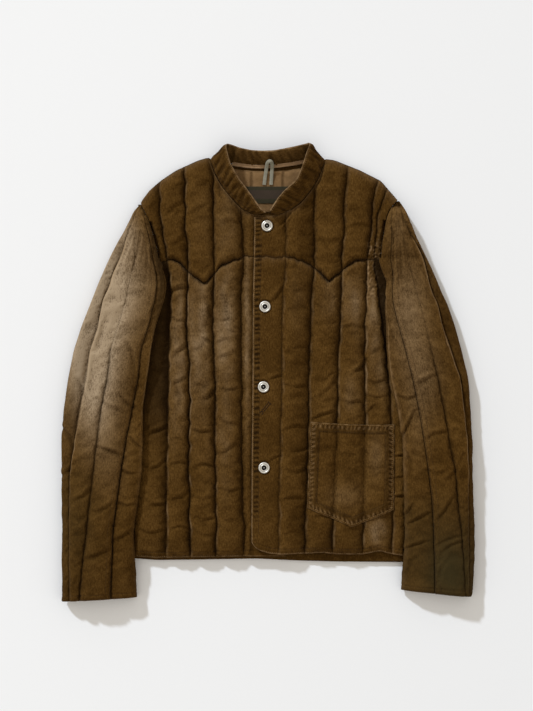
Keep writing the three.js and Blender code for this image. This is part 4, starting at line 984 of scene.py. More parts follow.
def sleeve_swell(P, seed, folds):
    """Quilting, gathers and folds of a sleeve's upper layer, outward."""
    lofts = {-1: 0.0, 0: 4.2, 1: 7.5, 2: 8.0, 3: 6.5}
    full = np.vectorize(lofts.get)(P.k)[None, :] + 0 * P.v
    full = np.minimum(full, 0.30 * P.width)
    lean = P.t + 0.10 * noise(P.v / 33, P.k * 6.1, seed) * np.sin(np.pi * np.clip(P.t, 0, 1))
    prof = channel_profile(np.clip(lean, 0, 1))
    # the outermost and innermost channels run on into a fold
    prof = np.where(P.k == 0, np.clip(np.sin(np.pi * np.clip(P.t, 0, 1) ** 1.4), 0, 1) ** 0.8, prof)
    prof = np.where(P.k == 3, np.clip(1 - (1 - P.t) ** 3.2, 0, 1) * np.clip(1.0 - P.t, 0, 1) ** 0.35, prof)
    swell = 1 - 0.75 * np.exp(-P.from_top / 9)
    busy = 0.22 + 0.78 * smooth01((P.v - 385) / 60)
    lumps = 1 + busy * (0.22 * noise(P.v / 19, P.k * 5.1 + P.t * 0.9, seed + 1) + 0.10 * noise(P.v / 9, P.k * 3.7 + P.t * 1.8, seed + 2))
    # the second and third lines are shallow on the upper arm; the first is a step
    # down from a rolled edge to the strip beside the outer fold
    shallow = 0.34 + 0.66 * smooth01((P.v - 322) / 70)
    if P.side == "l":
        shallow = np.where(P.nearest == 3, 0.30 + 0.5 * smooth01((P.v - 440) / 60), shallow)
    prof = np.where((P.nearest >= 2) & (P.k > 0), 1 - (1 - prof) * shallow, prof)
    step = smooth01((P.v - 225) / 30) * (1 - 0.5 * smooth01((P.v - 470) / 60))
    prof = np.where((P.k == 1) & (P.t < 0.5), np.maximum(prof, 0.92 * step * (1 - np.exp(-P.off / 1.1))), prof)
    h = full * prof * swell * lumps
    h = h - np.where(P.k == 0, 3.2 * step * smooth01((P.t - 0.25) / 0.7), 0)
    run = P.v * UNIT
    side = np.where(P.t > 0.5, 1, 0)
    g = noise(run / 10, P.nearest * 11.7 + side * 3.1 + P.off / 30, seed + 3) + 0.5 * noise(run / 5.4, P.nearest * 5.9 + side * 1.7 + P.off / 16, seed + 4)
    sparse = -1.6 * np.clip(g - 0.10, 0, 1) + 0.5 * g
    h = h + 1.6 * busy * sparse * np.exp(-P.off / 10) * (1 - np.exp(-P.off / 1.4)) * np.minimum(1, P.from_top / 25)
    # long soft folds that run down the upper arm
    along = noise((P.u - P.qs_mid) / 6.5, P.v / 120, seed + 11) + 0.5 * noise((P.u - P.qs_mid) / 3.4, P.v / 90, seed + 12)
    h = h + 1.3 * along * (1 - 0.75 * smooth01((P.v - 380) / 80)) * smooth01(P.from_top / 30) * np.clip(prof + 0.1, 0, 1)
    # soft slanting wrinkles of a sleeve that has been worn
    slope = 1 if P.side == "r" else -1
    w = noise((P.v + slope * 0.5 * P.u) / 9.5, (P.u - slope * 0.4 * P.v) / 30, seed + 5)
    h = h + 1.3 * busy * w * smooth01(P.from_top / 80) * np.clip(prof + 0.3, 0, 1)
    # gathered turn of the cuff
    d = P.from_bottom
    h = h - 0.8 * np.exp(-((d - 9.5) / 1.5) ** 2)
    g = noise(P.u * UNIT / 6.5, 0.3, seed + 6) + 0.6 * noise(P.u * UNIT / 4.1, 0.9, seed + 7)
    h = h + 1.9 * g * smooth01(d / 1.5) * smooth01((15 - d) / 5)
    for fold in folds:
        run, depth, width, ridge = fold[:4]
        h = crease(h, P.u, P.v, run, 1.4 * depth, 0.9 * width, ridge, fold[4] if len(fold) > 4 else 1)
    return h


def pushed(P, h):
    """Section points moved out along the section's own normal by h."""
    dq, dz = np.gradient(P.q, axis=1), np.gradient(P.z, axis=1)
    n = np.hypot(dq, dz) + 1e-9
    nq, nz = -dz / n, dq / n
    nq, nz = blur(nq, 2, 1), blur(nz, 2, 1)
    q, z = P.q + nq * h, P.z + nz * h
    # rounded end at the cuff
    d = P.from_bottom
    f = np.sqrt(np.clip(1 - (1 - np.clip(d / 9.0, 0, 1)) ** 2, 0, 1))
    mid = P.low_at(q) + 0.42 * (z - P.low_at(q))
    z = mid + (z - mid) * (0.5 + 0.5 * f)
    return q, z


FOLDS_SR = [
    ([(99, 447), (108, 450), (121, 455)], 2.6, 3.6, 0.6), ([(131, 438), (136, 444), (141, 448)], 2.4, 3.0, 0.6),
    ([(63, 428), (70, 436), (74, 449)], 2.2, 3.6, 0.6), ([(63, 476), (70, 470), (76, 462)], 2.0, 3.4, 0.5),
    ([(76, 500), (84, 496), (91, 489)], 1.6, 3.6, 0.5), ([(97, 512), (106, 508), (115, 500)], 1.6, 3.8, 0.5),
    ([(113, 540), (122, 537), (131, 530)], 1.7, 3.4, 0.5), ([(84, 560), (96, 556), (110, 549)], 1.5, 4.2, 0.5),
    ([(120, 395), (128, 404), (136, 408)], 1.8, 3.6, 0.5), ([(100, 400), (110, 408), (122, 411)], 1.4, 4.6, 0.4),
    ([(126, 340), (132, 352), (134, 368)], 1.6, 3.8, 0.5), ([(112, 310), (104, 330), (98, 352)], 1.0, 5.0, 0.4),
    ([(141, 232), (138, 250), (134, 272)], 1.8, 2.8, 0.7), ([(133, 230), (126, 252), (118, 276)], 1.2, 2.8, 0.7),
    ([(147, 240), (147, 262), (145, 290)], 1.6, 2.6, 0.6), ([(78, 380), (84, 392), (88, 402)], 1.2, 4.0, 0.4),
    ([(122, 470), (130, 474), (138, 473)], 1.8, 3.0, 0.5), ([(118, 502), (126, 506), (136, 503)], 1.6, 3.0, 0.5),
]
FOLDS_SL = [
    ([(414, 411), (409, 422), (403, 436)], 2.4, 2.4, 1.0, -1), ([(413, 503), (410, 509), (406.5, 515)], 2.0, 2.2, 1.0, -1),
    ([(409, 524), (417, 519), (428, 513)], 2.4, 3.0, 0.7), ([(406, 549), (414, 545), (426, 541)], 2.2, 2.8, 0.7),
    ([(437, 520), (444, 511), (452, 498)], 1.8, 3.2, 0.7), ([(442, 552), (450, 545), (462, 541)], 1.8, 3.2, 0.6),
    ([(436, 545), (446, 540), (460, 536)], 1.0, 3.0, 0.5), ([(427, 470), (436, 474), (448, 470)], 1.5, 4.0, 0.5),
    ([(425, 440), (434, 434), (446, 432)], 1.5, 4.2, 0.5), ([(398, 396), (407, 400), (417, 396)], 1.6, 3.4, 0.5),
    ([(416, 385), (426, 380), (438, 374)], 1.5, 4.4, 0.5), ([(405, 450), (411, 460), (412, 476)], 1.8, 3.0, 0.5),
    ([(399, 221), (400.5, 248), (402, 275), (405, 318)], 1.3, 2.2, 0.5), ([(392, 222), (394, 250), (393, 285)], 1.2, 2.2, 0.6),
    ([(409, 222), (413, 245), (418, 262)], 1.3, 2.4, 0.7), ([(403, 214), (408, 226), (411, 240)], 1.0, 2.2, 0.7),
    ([(389, 320), (394, 338), (402, 356)], 1.5, 3.0, 0.6), ([(447, 480), (456, 470), (462, 455)], 1.2, 3.6, 0.5),
    ([(406, 578), (412, 560), (418, 556)], 1.2, 3.0, 0.5), ([(438, 585), (440, 570), (446, 560)], 1.2, 3.0, 0.5),
]
sleeve_r = Sleeve("r", ROWS_R, SIDE_R, 0.055, 420)
sleeve_l = Sleeve("l", ROWS_L, SIDE_L, -0.10, 420)
swell_r = sleeve_swell(sleeve_r, 500, FOLDS_SR)
swell_l = sleeve_swell(sleeve_l, 600, FOLDS_SL)


def felled(P, h, seed, strength=1.0):
    """Twin-stitched seam beside the third line: two grooves, gathers between."""
    off = np.where(P.k == 2, (1 - P.t) * P.width, 99.0)
    window = smooth01((off - 1.6) / 1.0) * smooth01((8.5 - off) / 1.4)
    phase = P.v * UNIT / 7.8 + 0.9 * noise(P.v / 12, 3.3, seed) + 0.1 * off
    h = h + strength * 0.8 * smooth01((9.5 - off) / 2) - strength * 1.0 * window * (0.5 + 0.5 * np.sin(2 * np.pi * phase)) * (0.75 + 0.5 * noise(P.v / 7, 1.7, seed + 1))
    for at in (1.6, 8.2):
        h = h - strength * 0.5 * np.exp(-((off - at) / 0.8) ** 2)
    return h


swell_r = felled(sleeve_r, swell_r, 71, 0.8)
swell_l = felled(sleeve_l, swell_l, 72, 1.0)

for P, h in ((sleeve_r, swell_r), (sleeve_l, swell_l)):
    P.fq, P.fz = pushed(P, h)
    P.upper = P.grid(P.fq, P.fz, P.v)
    pin = np.zeros(P.q.shape, bool)
    pin[0, :] = pin[-1, :] = True
    pin[:, :6] = pin[:, -1:] = True
    pin[:, (P.k == 0) & (P.t < 0.4)] = True
    pin[:, (P.k == 3) & (P.t > 0.72)] = True
    for c in (1, 2, 3):
        pin[:, (P.k == c) & (P.t < 1e-6)] = True
    jobs["sleeve_" + P.side] = Billow("sleeve_" + P.side, P.upper, pin, (3, 2), GROW * 0.9, 1.0, 3.0)

moves = {}
if jobs:
    scene.frame_start, scene.frame_end = 1, 40
    for f in range(1, 19):
        scene.frame_set(f)
    moves = {name: job.result() for name, job in jobs.items()}
    scene.frame_set(1)

# ------------------------------------------------------------- pieces of the body


def ride_all(ob, *nodes, slot="shell"):
    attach(ob, "root")
    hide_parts(*nodes)
    return ob


def under_sleeves(P, G):
    """Keeps the body's side below the sleeve that lies over it."""
    for S, body_side in ((sleeve_r, SIDE_R), (sleeve_l, SIDE_L)):
        v = P.v
        wall = place(body_side(v), v, 20)[0] * S.inward
        q = G[..., 0] * S.inward
        inner = np.interp(v.ravel(), S.v[:, 0], S.qs[4][:, 0]).reshape(v.shape)
        rz = np.interp(v.ravel(), S.v[:, 0], np.broadcast_to(S.rz, (S.v.shape[0], 1))[:, 0]).reshape(v.shape)
        cover = smooth01((inner + 7 - q) / 7) * (rz > 0.02)
        top = RIDE(q - wall) * rz - 0.9
        over = np.maximum(G[..., 2] - np.maximum(top, 9.6), 0) * cover
        G[..., 2] -= over
    return G


def body_piece(name, P, z, low, facts, job):
    G = top_grid(P, z)
    if job in moves:
        G = G + moves[job]
    G[..., 2] = np.maximum(G[..., 2], 9.4)
    G = under_sleeves(P, G)
    G[..., 2] = np.minimum(G[..., 2], 27.5)
    for bx, by in ((-1.25, 243.7), (-4.75, 109.7), (-7.25, -23.3), (-6.25, -157.3)):
        near = np.hypot(G[..., 0] - bx, G[..., 1] - by)
        G[..., 2] = np.where(near < 12, np.minimum(G[..., 2], 21.15 + 0.4 * np.maximum(near - 9.6, 0)), G[..., 2])
    floor = flat_under(P, low)
    rows = np.unique(np.r_[np.arange(0, P.u.shape[0], 4), P.u.shape[0] - 1])
    cols = np.unique(np.r_[np.arange(0, P.u.shape[1], 3), P.u.shape[1] - 1])
    top = G[np.ix_(rows, cols)]
    floor[..., 2] = np.minimum(floor[..., 2], top[..., 2] - 1.2)
    facts["relief_shade"] = relief_shade(G[..., 2], 7, 3)
    sewn = (P.off < 9) & ~((P.k == 0) & (P.t < 0.5)) & ~((P.k == P.k.max()) & (P.t > 0.5))
    n_line = 0.75 + 0.7 * noise(P.v / 16, P.nearest * 6.1, 61)
    on_front = not name.startswith("yoke")
    share = {"r": [0, 0.8, 1.0, 0.9, 0.8, 1, 1], "l": [0, 0.5, 0.9, 0.35, 0.30, 1, 1, 1]}[P.side_of]
    share = np.array(share)[np.clip(P.nearest, 0, len(share) - 1)] if on_front else 1.0
    facts["dye_and_painted_shade"] = facts["dye_and_painted_shade"] + np.where(sewn, share * 0.60 * np.clip(n_line, 0.2, 1.2) * np.exp(-(P.off / 1.5) ** 2), 0)
    # painted highlight along the left edge of each channel, the side that faces the lamp
    glint = {"r": [0, 0.30, 0.34, 0.18, 0.0, 0, 0], "l": [0, 0.16, 0.14, 0.34, 0.55, 0.2, 0, 0]}[P.side_of]
    glint = np.array(glint)[np.clip(P.nearest, 0, len(glint) - 1)] * (1.0 if on_front else 0.45)
    facts["pale_and_highlight"] = facts["pale_and_highlight"] + np.where(sewn & (P.t < 0.5), glint * np.clip(0.5 + 1.6 * noise(P.v / 13, P.nearest * 2.7, 65), 0, 1.4) * np.exp(-((P.off - 2.3) / 1.2) ** 2), 0)
    if P.side_of == "l":
        # puckered strip by the left armhole: pale on the ridges, painted shade in the troughs
        zig = noise(P.u / 2.6 + P.v / 5.0, P.v / 3.4, 66)
        where = smooth01((P.u - 366) / 3) * smooth01((387 - P.u) / 3) * smooth01((P.v - 234) / 12) * smooth01((306 - P.v) / 14)
        facts["pale_and_highlight"] = facts["pale_and_highlight"] + where * 1.3 * np.clip(zig - 0.08, 0, 0.5)
        facts["dye_and_painted_shade"] = facts["dye_and_painted_shade"] + where * 1.2 * np.clip(-zig - 0.12, 0, 0.5)
        G[..., 2] += 1.3 * where * zig
    seam = P.from_bottom if name.startswith("yoke") else P.from_top
    n_seam = np.clip(0.55 + 1.7 * noise(P.u * UNIT / 6.2, 0.3, 62), 0.05, 1.5)
    facts["dye_and_painted_shade"] = np.clip(facts["dye_and_painted_shade"] + 0.62 * np.exp(-(seam / (0.8 + 2.0 * n_seam)) ** 2), 0, 1.1)
    # crowns paler with wear; the right part of each channel, which faces away from the lamp, gets painted shade
    crown = channel_profile(P.t, 2.0, 1.0)
    bay = ((P.k >= 1) & (P.k <= 4)) | ((P.k == 0) & (P.side_of == "r"))
    far = smooth01((P.t - 0.66) / 0.30)
    facts["fade"] = facts["fade"] * np.clip(0.40 + 1.35 * crown * (0.9 + 0.9 * noise(P.v / 14, P.u / 8, 63)), 0, 2.0) * np.where(bay, 1 - 0.55 * far, 1)
    facts["dye_and_painted_shade"] = np.clip(facts["dye_and_painted_shade"] + np.where(bay, 0.34 * far * np.clip(0.8 + 1.0 * noise(P.v / 22, P.k * 3.3, 64), 0.1, 1.5), 0), 0, 1.1)
    ob = shell(name, G, floor, facts, brown)
    ride_all(ob, name)
    P.raster = Raster(P.u, P.v, G[..., 2])
    return ob, G


def worn_edges(P, base=0.0):
    x = P.u * UNIT
    flick = np.clip(0.65 + 0.9 * noise(x / 6, P.v / 4, 77), 0, 1)
    return flick


def body_fade(u, v):
    """Large pale and dark places of the whole body."""
    f = 0.20 * blob(u, v, 200, 330, 38, 62) + 0.10 * blob(u, v, 178, 395, 22, 60) + 0.12 * blob(u, v, 226, 312, 16, 46)
    f += 0.16 * blob(u, v, 378, 318, 20, 50) + 0.16 * blob(u, v, 345, 300, 24, 22) + 0.20 * blob(u, v, 392, 375, 12, 26)
    f += 0.10 * blob(u, v, 352, 395, 16, 22) + 0.22 * blob(u, v, 378, 532, 14, 14) + 0.05 * blob(u, v, 297, 300, 12, 36)
    f += 0.14 * blob(u, v, 248, 330, 5, 110) + 0.10 * blob(u, v, 222, 440, 14, 60)
    return f


def placket_pucker_shade(P):
    """Painted shade in the puckers beside the buttoned edge."""
    off = (P.u - EDGE(P.v)) * UNIT
    window = smooth01((off - 2.2) / 1.0) * smooth01((13.0 - off) / 2.5)
    phase = P.v * UNIT / 8.2 + 0.8 * noise(P.v / 12, 3.3, 31) + 0.015 * off
    low = 1 - 0.75 * smooth01((P.v - 505) / 25)
    return 1.55 * window * low * np.clip(0.5 + 0.5 * np.sin(2 * np.pi * phase), 0, 1) ** 1.6 * np.clip(0.75 + 1.1 * noise(P.v / 9, off / 9, 33), 0, 1)


PUCKER_SHADE_FL = placket_pucker_shade(front_l)
flick = worn_edges(front_l)
off_edge = (front_l.u - EDGE(front_l.v)) * UNIT
pale_and_highlight = 0.75 * smooth01((1.5 - off_edge) / 1.0) * flick + 0.65 * smooth01((1.9 - front_l.from_bottom) / 1.2) * flick
pale_and_highlight += 0.30 * np.exp(-front_l.from_top / 4.5) * np.clip(0.4 + 1.3 * noise(front_l.u * UNIT / 4, 0.2, 88), 0, 1)
# painted shade: the side strip (k 5) darkened above about v 362, where it runs into the gap under the left sleeve
facts_fl = base_facts(front_l, z_fl, pale_and_highlight=pale_and_highlight, fade=body_fade(front_l.u, front_l.v),
                      dye_and_painted_shade=0.2 * blob(front_l.u, front_l.v, 330, 545, 60, 14) + PUCKER_SHADE_FL
                      + np.where(front_l.k == 5, 1.1 * smooth01((362 - front_l.v) / 24), 0))
front_l.side_of = yoke_l.side_of = "l"
front_r.side_of = yoke_r.side_of = "r"
ob_fl, G_fl = body_piece("front_left", front_l, z_fl, left_floor(front_l), facts_fl, "front_l")

off_edge = (yoke_l.u - EDGE(yoke_l.v)) * UNIT
pale_and_highlight = 0.75 * smooth01((1.5 - off_edge) / 1.0) * worn_edges(yoke_l)
pale_and_highlight += 0.2 * np.exp(-yoke_l.from_top / 4.0)
facts_yl = base_facts(yoke_l, z_yl, pale_and_highlight=pale_and_highlight, dye_and_painted_shade=placket_pucker_shade(yoke_l) * 0.7, fade=0.10 * blob(yoke_l.u, yoke_l.v, 379, 262, 7, 26))
ob_yl, G_yl = body_piece("yoke_left", yoke_l, z_yl, left_floor(yoke_l), facts_yl, "yoke_l")

pale_and_highlight = 0.5 * smooth01((1.7 - front_r.from_bottom) / 1.2) * worn_edges(front_r)
pale_and_highlight += 0.34 * np.exp(-front_r.from_top / 4.5) * np.clip(0.4 + 1.3 * noise(front_r.u * UNIT / 4, 0.2, 89), 0, 1)
# painted shadow: the side channel (k 0) darkened down to about v 452, where the right sleeve casts its shadow
facts_fr = base_facts(front_r, z_fr, pale_and_highlight=pale_and_highlight, fade=body_fade(front_r.u, front_r.v),
                      dye_and_painted_shade=0.15 * blob(front_r.u, front_r.v, 200, 548, 70, 12)
                      + np.where(front_r.k == 0, 0.80 * smooth01((452 - front_r.v) / 60) + 0.12, 0))
ob_fr, G_fr = body_piece("front_right", front_r, z_fr, BACK_TOP + 0.3, facts_fr, "front_r")

facts_yr = base_facts(yoke_r, z_yr, pale_and_highlight=0.2 * np.exp(-yoke_r.from_top / 4.0), fade=0.10 * blob(yoke_r.u, yoke_r.v, 225, 225, 22, 40))
ob_yr, G_yr = body_piece("yoke_right", yoke_r, z_yr, BACK_TOP + 0.3, facts_yr, "yoke_r")

# ------------------------------------------------------------------- back panel
LINES_B = [(lambda v, s=n / 9: SIDE_R(v) * (1 - s) + SIDE_L(v) * s) for n in range(10)]
TOP_BACK = lambda u: TOP_B(u) - 2.6 * smooth01((u - 210) / 8) * smooth01((325 - u) / 8)
back = Panel(LINES_B, [14] * 9, TOP_BACK, HEM_B, 170, {0: 205.0, -1: 200.0})
edge_off = np.minimum.reduce([back.from_top, back.from_bottom, np.where(back.k == 0, back.t * back.width, 99), np.where(back.k == 8, (1 - back.t) * back.width, 99)])
rim = 1 - np.sqrt(np.clip(1 - (1 - np.clip(edge_off / 7, 0, 1)) ** 2, 0, 1))
prof = channel_profile(back.t + 0.05 * noise(back.v / 30, back.k * 7.0, 900))
under = 3.6 * (1 - prof) * (back.from_top > 1) + 2.6 * rim
g = noise(back.v * UNIT / 8.5, back.nearest * 9.1 + back.off / 22, 901)
under = under + 1.3 * (g + 0.2) * np.exp(-back.off / 7) * (1 - np.exp(-back.off / 1.5))
under = np.clip(under - 0.25, 0, 5.0)
over = BACK_TOP - 0.15 - 0.5 * (back.from_top < 12) * (np.abs(back.u - 267) < 60) - 1.6 * rim - 0.8 * np.exp(-(back.off / 3) ** 2) - 0.4 * np.exp(-((back.from_bottom - 5) / 1.2) ** 2)
over = over + np.minimum(0, 0.9 * noise(back.u * UNIT / 5, 0.1, 902) * np.exp(-back.from_bottom / 8))
x, y = place(back.u, back.v, 6)
outer = np.stack([x, y, under], -1)[:, ::-1]
zero = np.zeros_like(under)
pale_and_highlight = (0.30 * smooth01((1.6 - back.from_bottom) / 1.2))[:, ::-1]
facts = {"grain": np.stack([x, y, zero], -1)[:, ::-1] / 1000, "relief_shade": -relief_shade(under, 5, 5)[:, ::-1], "pale_and_highlight": pale_and_highlight, "fade": zero, "dye_and_painted_shade": zero, "green": zero}
rows = np.unique(np.r_[np.arange(0, back.u.shape[0] - 12, 3), np.arange(back.u.shape[0] - 12, back.u.shape[0])])
cols = np.arange(back.u.shape[1])
inner = np.stack([x, y, np.maximum(over, under + 0.8)], -1)[:, ::-1][np.ix_(rows, cols)]
# the back's upper face, under the fronts, is painted darker as shade
ob_back = shell("back_panel", outer, inner, facts, brown, {"relief_shade": -0.2, "dye_and_painted_shade": 0.25})
ride_all(ob_back, "back_panel")

# ---------------------------------------------------------------------- sleeves


def sleeve_pieces(P, name):
    U = P.upper.copy()
    if "sleeve_" + P.side in moves:
        U = U + moves["sleeve_" + P.side]
    q = U[..., 0] * P.inward
    lift = P.low_at(q)
    U[..., 2] = np.where(P.k >= 1, np.maximum(U[..., 2], lift + 4.0), U[..., 2])
    U[..., 2] = np.maximum(U[..., 2], 1.0)
    # stay off the body above the underarm
    stop = P.wall - 0.7
    q = np.where(P.v < 258, np.minimum(q, stop), q)
    U[..., 0] = q * P.inward
    S = P.seam
    lower = P.grid(P.low_q, P.low_z, P.v[:, :1] + 0 * P.low_q)
    d = P.from_bottom[:, :1]
    f = np.sqrt(np.clip(1 - (1 - np.clip(d / 9.0, 0, 1)) ** 2, 0, 1))
    lower[..., 2] += (1 - f) * np.minimum(5.0, 0.18 * P.cz) * np.clip((P.low_q - P.qs[0]) / 12, 0.2, 1) * (np.arange(P.low_q.shape[1]) > 6)
    # middle of the space between the layers, from the outer fold to the seam
    n = 16
    share = np.linspace(0, 1, n)
    q0, q1 = P.qs[0] + 3.4, U[:, S:S + 1, 0] * P.inward
    mq = q0 + (q1 - q0) * share
    low = P.low_at(mq)
    top_at = np.stack([np.interp(mq[r], U[r, :S + 1, 0] * P.inward, U[r, :S + 1, 2]) for r in range(mq.shape[0])])
    head = smooth01((226 - P.v[:, :1]) / 8)
    mz = low + 0.42 * (np.maximum(top_at, low + 3) - low)
    mz = mz * (1 - head) + np.minimum(5.6, 0.5 * top_at) * head
    mz = np.minimum(mz, top_at - 1.6)
    mz[:, 0] = 4.5
    mz[:, -1] = U[:, S, 2] - 4.5
    rows = np.unique(np.r_[np.arange(0, P.v.shape[0], 4), P.v.shape[0] - 1])
    M = P.grid(mq, mz, P.v[:, :1] + 0 * mq)[rows]
    fade = P.fade(P.u, P.v)
    x, y = U[..., 0], U[..., 1]
    arc = np.cumsum(np.r_["1", np.zeros((U.shape[0], 1)), np.hypot(np.diff(U[..., 0]), np.diff(U[..., 2]))], 1)
    arc = arc - arc[:, S:S + 1]
    z = U[..., 2]
    rel = relief_shade(z, 7, 3)
    # over the fold, what stands proud is measured sideways
    # dark part: dye on the sewn lines, painted shade on the right sleeve's inner strip by the upper arm and on the low
    # outer strip beside each outer fold
    facts = {
        "grain": np.stack([arc, P.v * UNIT + 0 * arc, 0 * arc], -1) / 1000,
        "relief_shade": rel, "pale_and_highlight": P.pale_and_highlight(P), "fade": fade,
        "dye_and_painted_shade": P.dye_and_painted_shade(P.u, P.v) + np.where(P.off < 9, 0.55 * np.exp(-(P.off / 1.4) ** 2), 0)
        * np.where(P.nearest >= 2, 0.25 + 0.75 * smooth01((P.v - 322) / 70) * (0.25 if P.side == "l" else 1) ** (P.nearest == 3), 0.9 - 0.9 * ((P.k == 1) & (P.t < 0.5)))
        * smooth01((P.v - P.v.min() - 1.5) / 12)
        + np.where(P.k == 3, (0.62 if P.side == "r" else 0.0) * smooth01((P.t - 0.1) / 0.3) * smooth01((P.v - 212) / 14) * smooth01((335 - P.v) / 60), 0)
        + np.where(P.k == 0, 0.30 * smooth01((P.t - 0.15) / 0.5) * smooth01((P.v - 225) / 30) * (1 - 0.6 * smooth01((P.v - 470) / 60)), 0), "green": P.green(P.u, P.v),
    }
    cut = lambda a, s: a[:, s]
    tip = -1 if P.side == "l" else 1

    def turn(g):
        return g[:, ::tip]
    top = U[:, :S + 1].copy()
    under = M.copy()
    under[..., 2] += 0.3
    ob = shell(f"sleeve_{name}_top", turn(top), turn(under), {k: turn(cut(v, slice(0, S + 1))) for k, v in facts.items()}, brown)
    ride_all(ob, f"sleeve_{name}_top")
    # under sleeve: from the seam over the inner fold to the floor and back
    start = U[:, S:].copy()
    start[:, 0, 0] += 0.6 * P.inward
    start[:, 0, 2] -= 0.2
    ring = np.concatenate([start, lower], 1)
    k2 = {}
    for k, v in facts.items():
        tail = v[:, S:]
        if k == "grain":
            run = np.cumsum(np.r_["1", np.zeros((ring.shape[0], 1)), np.hypot(np.diff(ring[..., 0]), np.diff(ring[..., 2]))], 1)
            k2[k] = np.stack([run, P.v[:, :1] * UNIT + 0 * run, 0 * run], -1) / 1000
        else:
            more = np.zeros(lower.shape[:2])
            if k == "fade":
                more += 0.1
            k2[k] = np.concatenate([tail, more], 1)
    mid = M[:, ::-1].copy()
    mid[..., 2] -= 0.3
    mid[:, 0, 0] += 0.6 * P.inward
    ob2 = shell(f"sleeve_{name}_under", turn(ring), turn(mid), {k: turn(v) for k, v in k2.items()}, brown)
    ride_all(ob2, f"sleeve_{name}_under")
    P.raster = Raster(P.layout_u(U[..., 0] * P.inward, U[..., 2])[:, 6:-6], P.v[:, 6:-6], U[:, 6:-6, 2])
    P.final = U


def sleeve_wear(P):
    flick = np.clip(0.5 + 0.9 * noise(P.u * UNIT / 5, P.v / 5, 78), 0, 1)
    w = 0.45 * smooth01((1.8 - P.from_bottom) / 1.2) * flick
    edge = np.where(P.k == 3, (0.34 if P.side == "l" else 0.16) * np.exp(-((P.t - 0.80) / 0.12) ** 2), 0.0) * np.clip(0.6 + 1.2 * noise(P.v / 9, P.t * 3, 79), 0, 1) * smooth01((P.v - 285) / 20) * (1 - 0.7 * smooth01((P.v - 430) / 60))
    rim = np.where(P.k == 1, (0.85 if P.side == "l" else 0.6) * np.exp(-((P.off - 0.9) / 1.0) ** 2) * (P.t < 0.5), 0.0) * np.clip(0.75 + 0.9 * noise(P.v / 11, 0.3, 80), 0, 1) * smooth01((P.v - 235) / 20) * (1 - 0.85 * smooth01((P.v - 440) / 60))
    return w + edge + rim


# pale faded places; on the right sleeve's upper arm they are partly painted light where it slopes toward the lamp
sleeve_r.fade = lambda u, v: (0.42 * blob(u, v, 104, 362, 22, 56) + 0.18 * blob(u, v, 80, 330, 14, 84) + 0.90 * blob(u, v, 108, 290, 36, 56, 12) + 0.45 * blob(u, v, 88, 360, 26, 50, 8) + 0.32 * blob(u, v, 96, 415, 22, 42)
                              + 0.35 * blob(u, v, 128, 232, 12, 22) + 0.12 * blob(u, v, 110, 470, 20, 36))
sleeve_l.fade = lambda u, v: (0.34 * blob(u, v, 408, 310, 22, 60) + 0.22 * blob(u, v, 424, 380, 20, 40) + 0.16 * blob(u, v, 398, 225, 12, 26) + 0.10 * blob(u, v, 418, 430, 14, 40))
sleeve_r.pale_and_highlight = sleeve_l.pale_and_highlight = sleeve_wear
# painted shade on the right sleeve's inner fold by the underarm; both sleeves darker towards the cuff
sleeve_r.dye_and_painted_shade = lambda u, v: 0.22 * smooth01((v - 500) / 90) + 0.35 * blob(u, v, 160, 300, 7, 60)
sleeve_l.dye_and_painted_shade = lambda u, v: 0.16 * smooth01((v - 470) / 90)
sleeve_r.green = lambda u, v: 0.25 * blob(u, v, 75, 520, 22, 60)
sleeve_l.green = lambda u, v: 0.75 * blob(u, v, 450, 572, 26, 34) + 0.25 * smooth01((v - 470) / 60)
sleeve_pieces(sleeve_r, "right")
sleeve_pieces(sleeve_l, "left")

# ----------------------------------------------------------------------- collar
# Base point (u, v), its height, free-edge point (u, v), its height.
STATIONS = [(257, 214.6, 21, 266.0, 212.3, 37), (250, 212.8, 17.5, 262, 209.5, 38), (241.5, 208.8, 15, 255, 199.5, 39), (233.2, 200.5, 15, 246.5, 187.5, 39.5),
            (226.5, 193, 15, 240, 179.5, 39.5), (221.6, 186.4, 15, 234.5, 170, 39.5), (217, 178.5, 14.5, 230.5, 162.5, 39), (213, 170, 14.5, 228, 153, 38.5),
            (209.5, 160.5, 14, 226, 145.5, 38), (213, 158.5, 12, 227.5, 143.2, 38), (222, 161.5, 9, 231.5, 144.2, 38), (232, 164.5, 7.5, 239.4, 147.2, 38),
            (247, 166.8, 7, 251, 149.8, 38), (262.5, 167.5, 7, 262.4, 150.4, 38), (278, 166.5, 7, 274, 150, 38), (291, 164.5, 7, 285, 148, 38),
            (303, 162.3, 7.5, 295.5, 145.8, 38), (312, 160.5, 9, 303.5, 143.8, 38), (321, 158.8, 12, 309.5, 142.4, 38), (326, 160, 14, 309.5, 144, 38),
            (323.5, 168, 14.5, 306.5, 151, 38.5), (320.2, 176.4, 14.5, 303.3, 161, 39), (316, 183.5, 15, 300.5, 170, 39.5), (311.9, 189.7, 15, 296.3, 179, 39.5),
            (306.5, 196.5, 15, 290.5, 184.5, 39.5), (301.2, 203, 17.5, 283.5, 190.5, 39.5), (291.2, 210.4, 20.5, 276.5, 199, 39.5), (283, 213.2, 21.5, 272, 206.5, 39),
            (271.5, 215.8, 21.5, 269.8, 210.5, 36)]
st = np.array(STATIONS, float)
st[9:19, 5] = [33, 29.5, 27.2, 26.3, 26, 26, 26.3, 27.2, 29.5, 33]     # the back of the band lies lower than its sides
st[3:8, 2] -= 2.4
st[8:11, 2] -= [4.2, 4.2, 1.8]
st[17:20, 2] -= [1.8, 4.2, 4.2]
st[20:26, 2] -= 2.4
B3 = np.stack([*place(st[:, 0], st[:, 1], st[:, 2]), st[:, 2]], 1)
T3 = np.stack([*place(st[:, 3], st[:, 4], st[:, 5]), st[:, 5]], 1)
gap = np.r_[0, np.cumsum(np.linalg.norm(np.diff((B3 + T3) / 2, axis=0), axis=1))]
at = np.linspace(0, gap[-1], 430)


